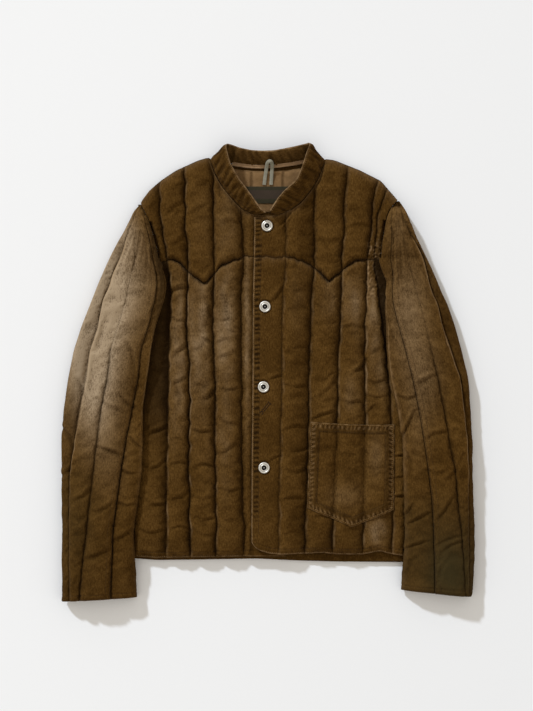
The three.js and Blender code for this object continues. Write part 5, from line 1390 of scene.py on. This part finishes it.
def fair(a):
    return np.stack([line(list(zip(gap, a[:, k])), 3.2)(at) for k in range(3)], 1)


base3, top3 = fair(B3), fair(T3)
base3[0], base3[-1], top3[0], top3[-1] = B3[0], B3[-1], T3[0], T3[-1]
trav = np.gradient((base3 + top3) / 2, axis=0)
trav /= np.linalg.norm(trav, axis=1)[:, None]
rise = top3 - base3
tall = np.linalg.norm(rise, axis=1)
rise /= tall[:, None]
inw = np.cross(trav, rise)
inw /= np.linalg.norm(inw, axis=1)[:, None]
W = spread(24, 0.6)
w, sgrid = np.meshgrid(W, at)
round_ = np.sqrt(np.clip(1 - np.abs(2 * w - 1) ** 7, 0, 1))
deep = (1.0 - w) * tall[:, None]          # mm below the free edge
up_from = w * tall[:, None]               # mm above the neck seam


def collar_face(seed, sign):
    h = 2.05 + 0.45 * np.sin(np.pi * w)
    g = noise(sgrid / 6.4 + 0.03 * up_from * sign, up_from / 46, seed) + 0.9 * noise(sgrid / 11, up_from / 34, seed + 1)
    h = h + 3.4 * g * (0.35 + 0.65 * np.sin(np.pi * w) ** 0.5)
    slant = noise((sgrid + 0.8 * up_from) / 11, (sgrid - up_from) / 34, seed + 2)
    h = h + (2.2 if sign > 0 else 1.2) * slant
    h = h - 0.45 * np.exp(-((deep - 3.4) / 0.8) ** 2) - 0.45 * np.exp(-((up_from - 3.0) / 0.8) ** 2) - 0.4 * np.exp(-((up_from - 9.0) / 0.8) ** 2)
    band = smooth01((up_from - 3) / 1) * smooth01((9 - up_from) / 1.2)
    h = h - 0.9 * band * (0.5 + 0.5 * np.sin(sgrid / 7.4 * 2 * np.pi + 2 * noise(sgrid / 20, 0.5, seed + 3)))
    near_ends = np.minimum(1, np.minimum(sgrid, gap[-1] - sgrid) / 3.5)
    return np.clip(h, 0.9, 4.0) * round_ * (0.35 + 0.65 * np.sqrt(near_ends))


out_h, in_h = collar_face(700, -1), collar_face(720, 1)
span = 0.03 + 0.955 * w
mid = base3[:, None, :] + (rise * tall[:, None])[:, None, :] * span[..., None]
outside = mid - inw[:, None, :] * out_h[..., None]
inside = mid + inw[:, None, :] * in_h[..., None]
ring = np.concatenate([outside, inside[:, ::-1][:, 1:-1]], 1)
# closed round the section
R, Cn = ring.shape[:2]
num = np.arange(R * Cn).reshape(R, Cn)
nxt = np.roll(num, -1, 1)
faces = np.stack([num[:-1], nxt[:-1], nxt[1:], num[1:]], -1).reshape(-1, 4).tolist()
points = ring.reshape(-1, 3)
for row, flip in ((0, False), (R - 1, True)):
    a = num[row].tolist()
    m = len(W) - 1
    lo, hi = [a[0]] + a[:0:-1][:Cn - m - 1], a[1:m + 1]
    # pair outer face points with inner ones
    for i in range(1, m):
        o0, o1 = a[i], a[i + 1]
        i0, i1 = a[(Cn - i) % Cn], a[(Cn - i - 1) % Cn]
        q = [o0, o1, i1, i0] if o1 != i1 else [o0, o1, i0]
        faces.append(q if flip else q[::-1])
    q = [a[0], a[1], a[Cn - 1]]
    faces.append(q if flip else q[::-1])
gr = np.concatenate([np.stack([up_from, sgrid, 0 * w], -1), np.stack([up_from + 60, sgrid, 0 * w], -1)[:, ::-1][:, 1:-1]], 1) / 1000
rel = np.concatenate([(out_h - blur(blur(out_h, 5, 0), 4, 1)) / 0.9, ((in_h - blur(blur(in_h, 5, 0), 4, 1)) / 0.9)[:, ::-1][:, 1:-1]], 1)


def dip_shade(h):
    """Where a face dips: painted shade in the dips."""
    local = blur(blur(h, 6, 0), 3, 1)
    return np.clip((local - h) / 0.9, 0, 1)


top_edge = 0.85 * smooth01((1.5 - deep) / 1.0) * np.clip(0.8 + 0.9 * noise(sgrid / 5, 0.3, 730), 0.15, 1)
wr = np.concatenate([top_edge, top_edge[:, ::-1][:, 1:-1]], 1)
# dark stitch and seam rows, and painted shade in the wrinkle dips of the outer face
rows_and_dip_shade = 0.45 * np.exp(-((up_from - 1.0) / 1.4) ** 2) + 0.30 * np.exp(-((up_from - 9.0) / 0.9) ** 2) + 0.34 * dip_shade(out_h)
dye_and_painted_shade = np.concatenate([0.06 + rows_and_dip_shade, 0.0 + 0 * w[:, ::-1][:, 1:-1]], 1)
zero = np.zeros(ring.shape[:2])
# painted light: the inner face is made paler to make up for the shade it stands in
inner_face_light = np.concatenate([0 * w, 0.09 + 0 * w[:, ::-1][:, 1:-1]], 1)
ob = mesh_object("collar_band", points, faces, {
    "grain": gr.reshape(-1, 3), "relief_shade": np.clip(rel, -1.2, 1.2).ravel(), "pale_and_highlight": wr.ravel(), "fade": inner_face_light.ravel(),
    "dye_and_painted_shade": dye_and_painted_shade.ravel(), "green": zero.ravel()}, brown)
ride_all(ob, "collar_band")

# ---------------------------------------------------------------------- lining


def sheet_facts(x, y, rel, pale_and_highlight=None):
    zero = np.zeros_like(x)
    return {"grain": np.stack([x, y, zero], -1) / 1000, "relief_shade": rel, "pale_and_highlight": zero if pale_and_highlight is None else pale_and_highlight}


cad = {n: [np.array(c) * 1000 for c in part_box(n)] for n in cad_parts}
lo, hi = cad["back_lining"]
# rows run down from the back neck seam; the piece narrows towards the front
back_edge = line([(-95, 347), (-92, 350), (-60, 341), (-25, 337.5), (5, 337), (35, 339), (60, 343), (88, 351), (92, 348)], 2)
half_right = line([(250, -18), (262, -28), (276, -45), (292, -59), (310, -74), (330, -86), (350, -91)], 3)
half_left = line([(250, 22), (262, 30), (276, 46), (292, 62), (310, 76), (330, 84), (350, 88)], 3)
ny, nx = 62, 110
s = np.linspace(0, 1, ny)[:, None]
t = np.linspace(0, 1, nx)[None, :]
yy = 350.0 + 0 * t * s
for _ in range(12):
    left_x, right_x = half_right(yy), half_left(yy)
    xx = left_x + (right_x - left_x) * t
    yy = back_edge(xx) - 1.5 + (267 - back_edge(xx) + 1.5) * s
left_x, right_x = half_right(yy), half_left(yy)
xx = left_x + (right_x - left_x) * t
xx = np.clip(xx, lo[0] + 1, hi[0] - 1)
QL = [place(251.5, 178, 8)[0], place(283, 178, 8)[0], place(220, 170, 8)[0], place(314, 170, 8)[0]]
g = sum(np.exp(-((xx - q) / 2.2) ** 2) for q in QL)
edge = np.minimum(1, np.minimum(np.minimum(s, 1 - s) * 60, np.minimum(t, 1 - t) * 110) / 4)
zt = 7.9 + 1.25 * edge - 1.5 * g * edge + 0.35 * noise(xx / 14, yy / 18, 740) + 0.45 * noise(xx / 30, yy / 6, 741) * np.clip(g, 0, 1)
zt = np.clip(zt, 7.7, 9.25)
outer = np.stack([xx, yy, zt], -1)
inner = np.stack([xx, yy, np.full_like(xx, 7.35)], -1)[::3, ::3]
inner = np.stack([xx, yy, np.full_like(xx, 7.35)], -1)[np.ix_(np.unique(np.r_[np.arange(0, ny, 4), ny - 1]), np.unique(np.r_[np.arange(0, nx, 4), nx - 1]))]
rel = np.clip((zt - blur(blur(zt, 3, 0), 4, 1)) / 0.6, -1, 1)
ob = shell("back_lining", outer, inner, sheet_facts(xx, yy, rel), lining_cloth)
ride_all(ob, "back_lining", slot="lining")

# ------------------------------------------------------------- tape, loop, label


def ribbon(name, path, width, wall, material, n=90, across=9, slot="tape", crown=0.25, twist=None, seed=0):
    """Flat woven strip along a path, with round selvedges."""
    p = np.array(path, float)
    d = np.r_[0, np.cumsum(np.linalg.norm(np.diff(p, axis=0), axis=1))]
    a = np.linspace(0, d[-1], n)
    c = np.stack([line(list(zip(d, p[:, k])), min(2.5, d[-1] / 30))(a) for k in range(3)], 1)
    c[0], c[-1] = p[0], p[-1]
    tr = np.gradient(c, axis=0)
    tr /= np.linalg.norm(tr, axis=1)[:, None]
    side = np.stack([-tr[:, 1], tr[:, 0], 0 * tr[:, 0]], 1)
    side /= np.linalg.norm(side, axis=1)[:, None] + 1e-9
    up = np.cross(tr, side)
    up *= np.sign(up[:, 2:3] + 1e-9)
    e = np.linspace(-1, 1, across)
    E_, A_ = np.meshgrid(e, a)
    w = width / 2 * (1 + 0.04 * noise(A_ / 4, 0.2, seed))
    h = wall * (0.55 + 0.45 * np.sqrt(np.clip(1 - np.abs(E_) ** 4, 0, 1))) + 0.10 * noise(A_ / 2.5, E_ * 2, seed + 1)
    top = c[:, None, :] + side[:, None, :] * (E_ * w)[..., None] + up[:, None, :] * h[..., None]
    bot = c[:, None, :] + side[:, None, :] * (E_ * w)[..., None] + up[:, None, :] * 0.0
    ob = shell(name, top, bot[:, ::2], {k: v for k, v in sheet_facts(A_, E_ * width / 2, 0 * A_).items()}, material)
    return ob, d[-1]


# the tape covers the neck seam: flat on the lining, then up the band's inner face
rows_t = np.nonzero((inside[:, 2, 1] > 330) & (base3[:, 1] > 338.5) & (np.abs(base3[:, 0]) < 64))[0]
rows_t = rows_t[(rows_t > 20) & (rows_t < len(at) - 20)]
foot = np.stack([[np.interp(1.4 / tall[r], W, inside[r, :, k]) for k in range(3)] for r in rows_t]) + inw[rows_t] * 0.35
climb = np.stack([[np.interp(4.9 / tall[r], W, inside[r, :, k]) for k in range(3)] for r in rows_t]) + inw[rows_t] * 0.45
foot, climb = blur(foot, 6, 0), blur(climb, 6, 0)
toward = inw[rows_t] * [1, 1, 0]
toward /= np.linalg.norm(toward, axis=1)[:, None]
e = np.linspace(0, 1, 5)[:, None, None]
low_part = foot[None] + toward[None] * (3.4 * (1 - e))
low_part[..., 2] = np.maximum(9.75, foot[None, :, 2] * e[..., 0] + 9.75 * (1 - e[..., 0]))
high_part = foot[None] + (climb - foot)[None] * e[1:]
under_t = np.concatenate([low_part, high_part]).transpose(1, 0, 2)
n_dir = np.cross(np.gradient(under_t, axis=0), np.gradient(under_t, axis=1))
n_dir /= np.linalg.norm(n_dir, axis=2)[..., None] + 1e-9
n_dir *= np.sign(n_dir[..., 2:3] + 1e-9)
across_t = np.linspace(-1, 1, under_t.shape[1])[None, :]
run_t = np.r_[0, np.cumsum(np.linalg.norm(np.diff(foot, axis=0), axis=1))][:, None]
wall_t = 0.9 * (0.5 + 0.5 * np.sqrt(np.clip(1 - np.abs(across_t) ** 4, 0, 1))) + 0.12 * noise(run_t / 3.5, across_t * 2, 750)
over_t = under_t + n_dir * wall_t[..., None]
A2, E2 = np.broadcast_to(run_t, wall_t.shape), np.broadcast_to(across_t * 3.3, wall_t.shape)
flip_t = np.cross(over_t[1, 0] - over_t[0, 0], over_t[0, 1] - over_t[0, 0])[2] > 0
turn_t = (lambda g: g) if flip_t else (lambda g: g[:, ::-1])
tape = shell("neck_tape", turn_t(over_t), turn_t(under_t), {k: turn_t(v) for k, v in sheet_facts(A2, E2, 0 * A2).items()}, tape_cloth)
ride_all(tape, "neck_tape", slot="tape")
LOOP = [(-6.0, 312.4, 9.9), (-5.0, 322.0, 10.2), (-3.6, 331.0, 11.6), (-2.4, 339.0, 13.6), (-1.6, 345.0, 17.6), (0.2, 350.0, 21.2), (3.2, 351.6, 22.4),
        (6.2, 350.0, 21.2), (7.2, 345.0, 17.6), (7.0, 339.0, 13.6), (6.4, 331.0, 11.6), (6.0, 322.0, 10.2), (5.4, 312.4, 9.9)]
loop, loop_run = ribbon("hanger_loop", LOOP, 6.0, 1.3, loop_cloth, n=170, seed=760)
ride_all(loop, "hanger_loop", slot="loop")
lo, hi = cad["neck_label"]
lx = np.linspace(lo[0] + 0.3, hi[0] - 0.3, 100)[None, :] + 0 * np.linspace(0, 1, 46)[:, None]
ly = np.linspace(hi[1] - 0.3, lo[1] + 0.3, 46)[:, None] + 0 * lx
edge = np.minimum(np.minimum(lx - lo[0], hi[0] - lx), np.minimum(ly - lo[1], hi[1] - ly))
lz = 9.75 + 0.7 * np.sqrt(np.clip(1 - (1 - np.clip(edge / 1.6, 0, 1)) ** 2, 0, 1)) + 0.16 * noise(lx / 16, ly / 12, 770) - 0.18 * np.exp(-((edge - 2.0) / 0.5) ** 2)
band = smooth01((ly - 288.5) / 1.5) * smooth01((304.5 - ly) / 1.5) * smooth01((edge - 3) / 2)
lab = shell("neck_label", np.stack([lx, ly, np.clip(lz, 9.7, 10.7)], -1), np.stack([lx, ly, 0 * lx + 9.66], -1)[::5, ::9][:, :],
            sheet_facts(lx, ly, 0 * lx, 0.75 * band), label_cloth)
ride_all(lab, "neck_label", slot="label")

# ----------------------------------------------------------------------- pocket
TL, TR, BR, TIP, BL = (310.7, 421.8), (394.5, 424.7), (393.9, 510.2), (352, 526.9), (307.2, 507.9)
pn, pm = 112, 124
a = np.linspace(0, 1, pn)[None, :]
b = np.linspace(0, 1, pm)[:, None]
k_tip = (TIP[0] - BL[0]) / (BR[0] - BL[0])
low_u = BL[0] + (BR[0] - BL[0]) * a
low_v = np.where(a < k_tip, BL[1] + (TIP[1] - BL[1]) * a / k_tip, TIP[1] + (BR[1] - TIP[1]) * (a - k_tip) / (1 - k_tip))
up_u, up_v = TL[0] + (TR[0] - TL[0]) * a, TL[1] + (TR[1] - TL[1]) * a + 1.2 * np.sin(np.pi * a)
pu = up_u + (low_u - up_u) * b
pv = up_v + (low_v - up_v) * b
pu = pu + 0.5 * noise(pv / 14, 0.2, 781) * np.exp(-np.minimum(a, 1 - a) * 20)
d_side = np.minimum(pu - (TL[0] + (BL[0] - TL[0]) * b), (TR[0] + (BR[0] - TR[0]) * b) - pu) * UNIT
d_top = (pv - up_v) * UNIT
slope = math.cos(math.atan2(TIP[1] - BL[1], TIP[0] - BL[0]))
d_low = (low_v - pv) * UNIT * slope
d_edge = np.minimum(np.minimum(d_side, d_top), d_low)
soft = blur(blur(front_l.raster.z, 2, 0), 2, 1)
keep = front_l.raster.z
front_l.raster.z = soft
under = front_l.raster.at(pu, pv)
front_l.raster.z = keep
hard = front_l.raster.at(pu, pv)
calm = blur(blur(under, 3, 0), 5, 1)


def crest(h, reach):
    """Highest neighbour of every grid point."""
    wide = np.pad(h, reach, mode="edge")
    span = range(2 * reach + 1)
    return np.max([wide[i:i + h.shape[0], j:j + h.shape[1]] for i in span for j in span], axis=0)


pz = 0.45 * calm + 0.55 * under
for ql, qd in ((line([(420, 338.5), (528, 333.5)], 0), 2.1), (line([(420, 366), (528, 364)], 0), 2.2)):
    pz = pz - qd * np.exp(-(((pu - ql(pv)) * UNIT) / 2.4) ** 2) * smooth01((d_edge - 2) / 8)
pz = np.maximum(pz, hard + 0.4) + 1.5
inner_row, outer_row = 15.2, 3.2
run_along = np.where(d_edge == d_side, pv, pu) * UNIT
band = smooth01((d_edge - 2.2) / 1.2) * smooth01((10.5 - d_edge) / 3.0)
phase = run_along / 7.2 + 0.6 * noise(pu / 11, pv / 11, 782) + 0.05 * d_edge
pz = pz + 0.9 * smooth01((inner_row + 1 - d_edge) / 2.0)
pz = pz - 1.3 * band * (0.5 + 0.5 * np.sin(2 * np.pi * phase)) * (0.75 + 0.8 * noise(pu / 6, pv / 6, 783))
for row, dd in ((outer_row, 0.45), (inner_row, 1.1)):
    pz = pz - dd * np.exp(-((d_edge - row) / 0.85) ** 2)
pz = pz + 0.55 * noise(pu / 5.5, pv / 13, 784) + 0.35 * noise(pu / 14, pv / 4, 785)
pz = pz - 0.9 * (1 - np.sqrt(np.clip(1 - (1 - np.clip(d_edge / 1.6, 0, 1)) ** 2, 0, 1)))
pz = np.maximum(pz, crest(hard, 1) + 1.0)
px, py = place(pu, pv, 20)
outer = np.stack([px, py, pz], -1)
floor_z = np.minimum(crest(hard, 2) + 0.35, pz - 0.6)
inner = np.stack([px, py, floor_z], -1)[np.ix_(np.unique(np.r_[np.arange(0, pm, 2), pm - 1]), np.unique(np.r_[np.arange(0, pn, 2), pn - 1]))]
flick = np.clip(0.55 + 1.0 * noise(pu / 4, pv / 4, 786), 0, 1)
pale_and_highlight = 0.55 * smooth01((1.5 - d_edge) / 1.0) * flick
# painted highlight on the pucker ridges, beside rub wear at the edge
ridge = band * (0.5 - 0.5 * np.sin(2 * np.pi * phase))
pale_and_highlight = pale_and_highlight + 0.30 * ridge ** 1.6 * flick
zero = np.zeros_like(pu)
# painted shade in the pucker dips and in the groove inside the inner stitch row
facts = {"grain": np.stack([px, py, zero], -1) / 1000, "relief_shade": relief_shade(pz, 4, 4) * 1.5, "pale_and_highlight": pale_and_highlight,
         "fade": 0.20 * blob(pu, pv, 376, 455, 9, 24) + 0.16 * blob(pu, pv, 345, 496, 20, 14),
         "dye_and_painted_shade": 0.12 * blob(pu, pv, 350, 465, 14, 20) + 0.55 * np.exp(-((d_edge - 12.6) / 3.0) ** 2) + 0.6 * band * (0.5 + 0.5 * np.sin(2 * np.pi * phase)) ** 1.6
         + 0.5 * np.exp(-((d_edge - 0.2) / 0.9) ** 2) * (flick < 0.5), "green": zero}
pocket = shell("pocket", outer, inner, facts, brown)
ride_all(pocket, "pocket")
pocket_raster = Raster(pu, pv, pz)

# ---------------------------------------------------------------------- buttons
metal, tree, nodes, links, p = new_material("button_metal")
n = Nodes(tree)
obj_co = nodes.new("ShaderNodeTexCoord").outputs["Object"]
spots = n.noise(obj_co, 900, 3, 0.6)
rings = n.noise(obj_co, 260, 2, 0.5)
col = n.mix(n.math("MULTIPLY_ADD", spots, 0.9, 0.0, clamp=True), srgb(196, 190, 178), srgb(236, 232, 222))
col = n.mix(n.math("MULTIPLY", n.fact("dye_and_painted_shade"), 1.0, clamp=True), col, srgb(22, 17, 10))
links.new(col, p.inputs["Base Color"])
p.inputs["Metallic"].default_value = 0.75
rough = n.math("MULTIPLY_ADD", rings, 0.25, 0.30)
links.new(rough, p.inputs["Roughness"])
links.new(n.bump(spots, 0.25, 0.0002), p.inputs["Normal"])

BUTTON = [(8.3, 0), (8.9, 0.15), (9.28, 0.7), (9.35, 1.3), (9.32, 2.0), (9.05, 2.65), (8.6, 3.05), (8.0, 3.25), (7.4, 3.28), (6.9, 3.1), (6.55, 2.6),
          (6.25, 2.45), (5.95, 2.6), (5.6, 2.95), (5.1, 3.12), (4.5, 3.1), (4.0, 2.9), (3.6, 2.45), (3.4, 1.7), (3.3, 1.0), (2.9, 0.8), (2.0, 0.85),
          (1.5, 1.0), (1.3, 1.45), (0.9, 1.75), (0.4, 1.85)]
for name in ("button_1", "button_2", "button_3", "button_4"):
    lo, hi = cad[name]
    cx, cy, cz = (lo[0] + hi[0]) / 2, (lo[1] + hi[1]) / 2, lo[2]
    seg = 72
    ang = np.linspace(0, 2 * np.pi, seg, endpoint=False)
    pts, dark = [], []
    for r, z in BUTTON:
        for th in ang:
            pts.append((cx + r * math.cos(th), cy + r * math.sin(th), cz + z))
            dark.append(1.0 if 1.2 < r < 4.05 else (0.45 if 5.9 < r < 6.7 else (0.62 if r <= 1.2 else 0.0)))
    faces = []
    for i in range(len(BUTTON) - 1):
        for j in range(seg):
            k = (j + 1) % seg
            faces.append((i * seg + j, i * seg + k, (i + 1) * seg + k, (i + 1) * seg + j))
    pts.append((cx, cy, cz + 1.88)); dark.append(0.25)
    pts.append((cx, cy, cz)); dark.append(0.5)
    last = (len(BUTTON) - 1) * seg
    for j in range(seg):
        k = (j + 1) % seg
        faces.append((last + j, last + k, len(pts) - 2))
        faces.append((k, j, len(pts) - 1))
    ob = mesh_object(name + "_metal", pts, faces, {"dye_and_painted_shade": np.array(dark)}, metal)
    ride_all(ob, name, slot="button")

# --------------------------------------------------------------------- stitches


class Thread:
    """Many short stitches in one piece."""

    def __init__(self, name, material, slot="shell"):
        self.name, self.material, self.slot = name, material, slot
        self.p, self.f, self.g = [], [], []

    def stitch(self, c, d, up, length, width, proud):
        d = d / (np.linalg.norm(d) + 1e-9)
        up = up - d * (up @ d)
        up = up / (np.linalg.norm(up) + 1e-9)
        s = np.cross(d, up)
        k = len(self.p)
        h, w = length / 2, width / 2
        self.p += [c - d * h - up * 0.12, c - d * h * 0.45 + s * w + up * proud * 0.5, c - d * h * 0.45 - s * w + up * proud * 0.5,
                   c + up * proud - d * h * 0.3, c + up * proud + d * h * 0.3,
                   c + d * h * 0.45 + s * w + up * proud * 0.5, c + d * h * 0.45 - s * w + up * proud * 0.5, c + d * h - up * 0.12,
                   c - up * 0.25 - d * h * 0.3, c - up * 0.25 + d * h * 0.3]
        self.f += [(k, k + 3, k + 1), (k, k + 2, k + 3), (k + 3, k + 4, k + 5, k + 1), (k + 2, k + 6, k + 4, k + 3), (k + 4, k + 7, k + 5), (k + 4, k + 6, k + 7),
                   (k, k + 1, k + 8), (k, k + 8, k + 2), (k + 1, k + 5, k + 9, k + 8), (k + 2, k + 8, k + 9, k + 6), (k + 5, k + 7, k + 9), (k + 6, k + 9, k + 7)]
        self.g += [(0, x, 0) for x in (0, .3, .3, .4, .6, .7, .7, 1, .4, .6)]

    def row(self, points, pitch=3.3, length=2.5, width=0.62, proud=0.28, across=False, ups=None):
        """points: positions along the row, close together, in millimetres."""
        p = np.asarray(points, float)
        d = np.r_[0, np.cumsum(np.linalg.norm(np.diff(p, axis=0), axis=1))]
        if d[-1] < pitch:
            return
        n = max(1, int(d[-1] / pitch))
        for i in range(n):
            mid = (i + 0.5) * d[-1] / n
            c = np.array([np.interp(mid, d, p[:, k]) for k in range(3)])
            e = np.array([np.interp(min(mid + 1, d[-1]), d, p[:, k]) - np.interp(max(mid - 1, 0), d, p[:, k]) for k in range(3)])
            up = np.array([0, 0, 1.0]) if ups is None else np.array([np.interp(mid, d, ups[:, k]) for k in range(3)])
            if across:
                e = np.cross(e, up)
            self.stitch(c, e, up, length, width, proud)

    def layout_row(self, raster, uv, z=20, lift=0.05, **more):
        uv = np.asarray(uv, float)
        d = np.r_[0, np.cumsum(np.hypot(*np.diff(uv, axis=0).T))]
        n = max(2, int(d[-1] * 2))
        a = np.linspace(0, d[-1], n)
        u, v = np.interp(a, d, uv[:, 0]), np.interp(a, d, uv[:, 1])
        h = raster.at(u, v)
        x, y = place(u, v, z)
        self.row(np.stack([x, y, h + lift], 1), **more)

    def make(self):
        if not self.p:
            return None
        g = np.array(self.g, float) / 1000
        ob = mesh_object(self.name, np.array(self.p), [q[::-1] for q in self.f], {"grain": g, "relief_shade": np.zeros(len(self.p)), "pale_and_highlight": np.zeros(len(self.p))}, self.material)
        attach(ob, "root")
        return ob


def vline(f, v0, v1, off=0.0, step=2.0):
    vv = np.arange(v0, v1, step)
    return np.stack([f(vv) + off, vv], 1)


def uline(f, u0, u1, off=0.0, step=1.5):
    uu = np.arange(u0, u1, step) if u1 > u0 else np.arange(u0, u1, -step)
    return np.stack([uu, f(uu) + off], 1)


light = Thread("stitches_light", thread_light)
dark = Thread("stitches_dark", thread_dark)
U1 = 1 / UNIT
# placket
light.layout_row(yoke_l.raster, vline(EDGE, 219, 255, 1.9 * U1))
light.layout_row(front_l.raster, vline(EDGE, 258, 541, 1.9 * U1))
dark.layout_row(yoke_l.raster, vline(EDGE, 220, 255, 11.6 * U1))
dark.layout_row(front_l.raster, vline(EDGE, 258, 535, 11.6 * U1))
# hems
light.layout_row(front_l.raster, uline(HEM_L, 262, 404, -2.2 * U1))
dark.layout_row(front_l.raster, uline(HEM_L, 266, 404, -9.2 * U1))
light.layout_row(front_r.raster, uline(HEM_R, 136, 251, -2.2 * U1))
dark.layout_row(front_r.raster, uline(HEM_R, 136, 251, -9.2 * U1))
# yoke seams
dark.layout_row(yoke_r.raster, uline(YOKE_R, 161, 252, -1.8 * U1))
dark.layout_row(yoke_l.raster, uline(YOKE_L, 256, 380, -1.8 * U1))
# quilting
for f in (A, B, C, Dl):
    dark.layout_row(front_r.raster, np.stack([np.interp(np.linspace(0, 1, 160), np.linspace(0, 1, 2), [0, 0]), np.linspace(290, 553, 160)], 1) + np.c_[f(np.linspace(290, 553, 160)), np.zeros(160)], pitch=3.6, width=0.5)
for f, lo_v in ((F, 268), (G, 282), (H, 262), (E, 262)):
    vv = np.linspace(lo_v, 550, 170)
    dark.layout_row(front_l.raster, np.stack([f(vv), vv], 1), pitch=3.6, width=0.5)
# pocket
corners = [np.array(c) for c in (TL, TR, BR, TIP, BL)]
centre = np.array((352, 468))


def inset(points, mm):
    """Closed outline moved in by mm."""
    out = []
    m = len(points)
    for i in range(m):
        a0, b0, c0 = points[i - 1], points[i], points[(i + 1) % m]
        n1 = np.array([-(b0 - a0)[1], (b0 - a0)[0]]); n1 = n1 / np.linalg.norm(n1)
        n2 = np.array([-(c0 - b0)[1], (c0 - b0)[0]]); n2 = n2 / np.linalg.norm(n2)
        bis = n1 + n2
        bis = bis / np.linalg.norm(bis)
        out.append(b0 + bis * (mm * U1) / max(0.3, bis @ n1))
    return out


for mm, th in ((outer_row, light), (inner_row, dark)):
    ring_ = inset(corners, mm)
    for i in range(5):
        a0, b0 = ring_[i], ring_[(i + 1) % 5]
        tt = np.linspace(0, 1, 60)[:, None]
        th.layout_row(pocket_raster, a0 + (b0 - a0) * tt)
for (cu, cv), du in ((TR, -4.6), (TL, 1.4)):   # bar tacks at the mouth's ends
    light.layout_row(pocket_raster, [(cu + du, cv + 2.2), (cu + du + 3.2, cv + 2.2)], pitch=0.9, length=2.6, width=0.8, across=True)
for cu, cv in ((393.2, 508.0),):
    light.layout_row(pocket_raster, [(cu - 3.2, cv), (cu - 0.6, cv)], pitch=0.9, length=2.4, width=0.8, across=True)
# small keyhole mark
mark = Thread("keyhole_stitches", plain_cloth("thread_red", srgb(20, 9, 5), srgb(40, 20, 12), 2400, True))
ang = np.linspace(0.5, 2 * np.pi - 0.5, 40) + math.radians(130)
ring_at = np.stack([261.6 + 1.45 * np.cos(ang), 412.8 + 1.45 * np.sin(ang)], 1)
mark.layout_row(front_l.raster, ring_at, pitch=1.0, length=1.3, width=1.2, proud=0.25)
for o in (-1.0, 1.0):
    mark.layout_row(front_l.raster, [(263.0 + o * 0.75, 410.9 + o * 0.62), (269.0 + o * 0.75, 403.6 + o * 0.62)], pitch=1.0, length=1.3, width=1.15, proud=0.25)
mark.layout_row(front_l.raster, [(268.0, 401.6), (271.2, 404.6)], pitch=1.0, length=1.3, width=1.2, proud=0.25)
mark.make()


# sleeves: quilting, felled seam, cuffs
def on_sleeve(P, c, t, v0, v1, off=0.0):
    """Points on a sleeve's upper layer along channel c at share t."""
    k = np.argmin(np.abs((P.k + P.t) - (c + t)))
    rows_ = (P.v[:, 0] > v0) & (P.v[:, 0] < v1)
    return P.final[rows_][:, k] + np.array([off * P.inward, 0, 0.1])


for P in (sleeve_r, sleeve_l):
    for c in (1, 2):
        dark.row(on_sleeve(P, c, 0.0, 262, 592), pitch=3.6, width=0.5)
    for mm, th in ((1.6, dark), (8.2, dark)):
        rows_ = (P.v[:, 0] > 232) & (P.v[:, 0] < 592)
        pts = []
        for r in np.nonzero(rows_)[0]:
            cols = np.nonzero(P.k == 2)[0]
            x = P.final[r, cols, 0] * P.inward
            want = P.final[r, P.seam, 0] * P.inward - mm
            if want > x[0]:
                pts.append([want * P.inward, P.final[r, cols[0], 1], np.interp(want, x, P.final[r, cols, 2]) + 0.1])
        if len(pts) > 4:
            th.row(np.array(pts), pitch=3.4, width=0.55)
    for back_off in (9.5,):
        r = int(np.argmin(np.abs(P.from_bottom[:, 0] - back_off)))
        dark.row(P.final[r, 8:-8] + np.array([0, 0, 0.1]), pitch=3.4, width=0.55)

# collar: by its free edge, and twin rows by the neck seam, on the outer face
for mm_top, mm_low, th in ((3.4, None, light), (None, 3.0, dark), (None, 9.0, dark)):
    pts, ups = [], []
    for i in range(4, len(at) - 4, 2):
        share = (1 - mm_top / tall[i]) if mm_top else mm_low / tall[i]
        j = np.interp(share, W, np.arange(len(W)))
        j0 = int(j)
        fr = j - j0
        pts.append(outside[i, j0] * (1 - fr) + outside[i, min(j0 + 1, len(W) - 1)] * fr)
        ups.append(-inw[i])
    th.row(np.array(pts), ups=np.array(ups), pitch=3.3)
light.make()
dark.make()

# ----------------------------------------------------------------------- floor
floor_mat, tree, nodes, links, p = new_material("paper_floor")
n = Nodes(tree)
co = nodes.new("ShaderNodeTexCoord").outputs["Object"]
parts_ = nodes.new("ShaderNodeSeparateXYZ")
links.new(co, parts_.inputs[0])
# painted light falloff: the floor is a little darker towards the lower right
painted_falloff = n.math("ADD", n.math("MULTIPLY_ADD", parts_.outputs[0], 0.75, 0.5), n.math("MULTIPLY", parts_.outputs[1], -0.36), clamp=True)
painted_falloff = n.math("ADD", painted_falloff, n.math("MULTIPLY", n.math("SUBTRACT", n.noise(co, 1.3, 2, 0.5), 0.5), 0.15), clamp=True)
links.new(n.mix(painted_falloff, (0.872, 0.872, 0.872, 1), (0.805, 0.805, 0.805, 1)), p.inputs["Base Color"])
p.inputs["Roughness"].default_value = 0.95
p.inputs["Specular IOR Level"].default_value = 0.1
links.new(n.bump(n.noise(co, 900, 2, 0.5), 0.05, 0.0005), p.inputs["Normal"])
floor = mesh_object("floor", [(-6000, -6000, -0.3), (6000, -6000, -0.3), (6000, 6000, -0.3), (-6000, 6000, -0.3)], [(0, 1, 2, 3)], {}, floor_mat)
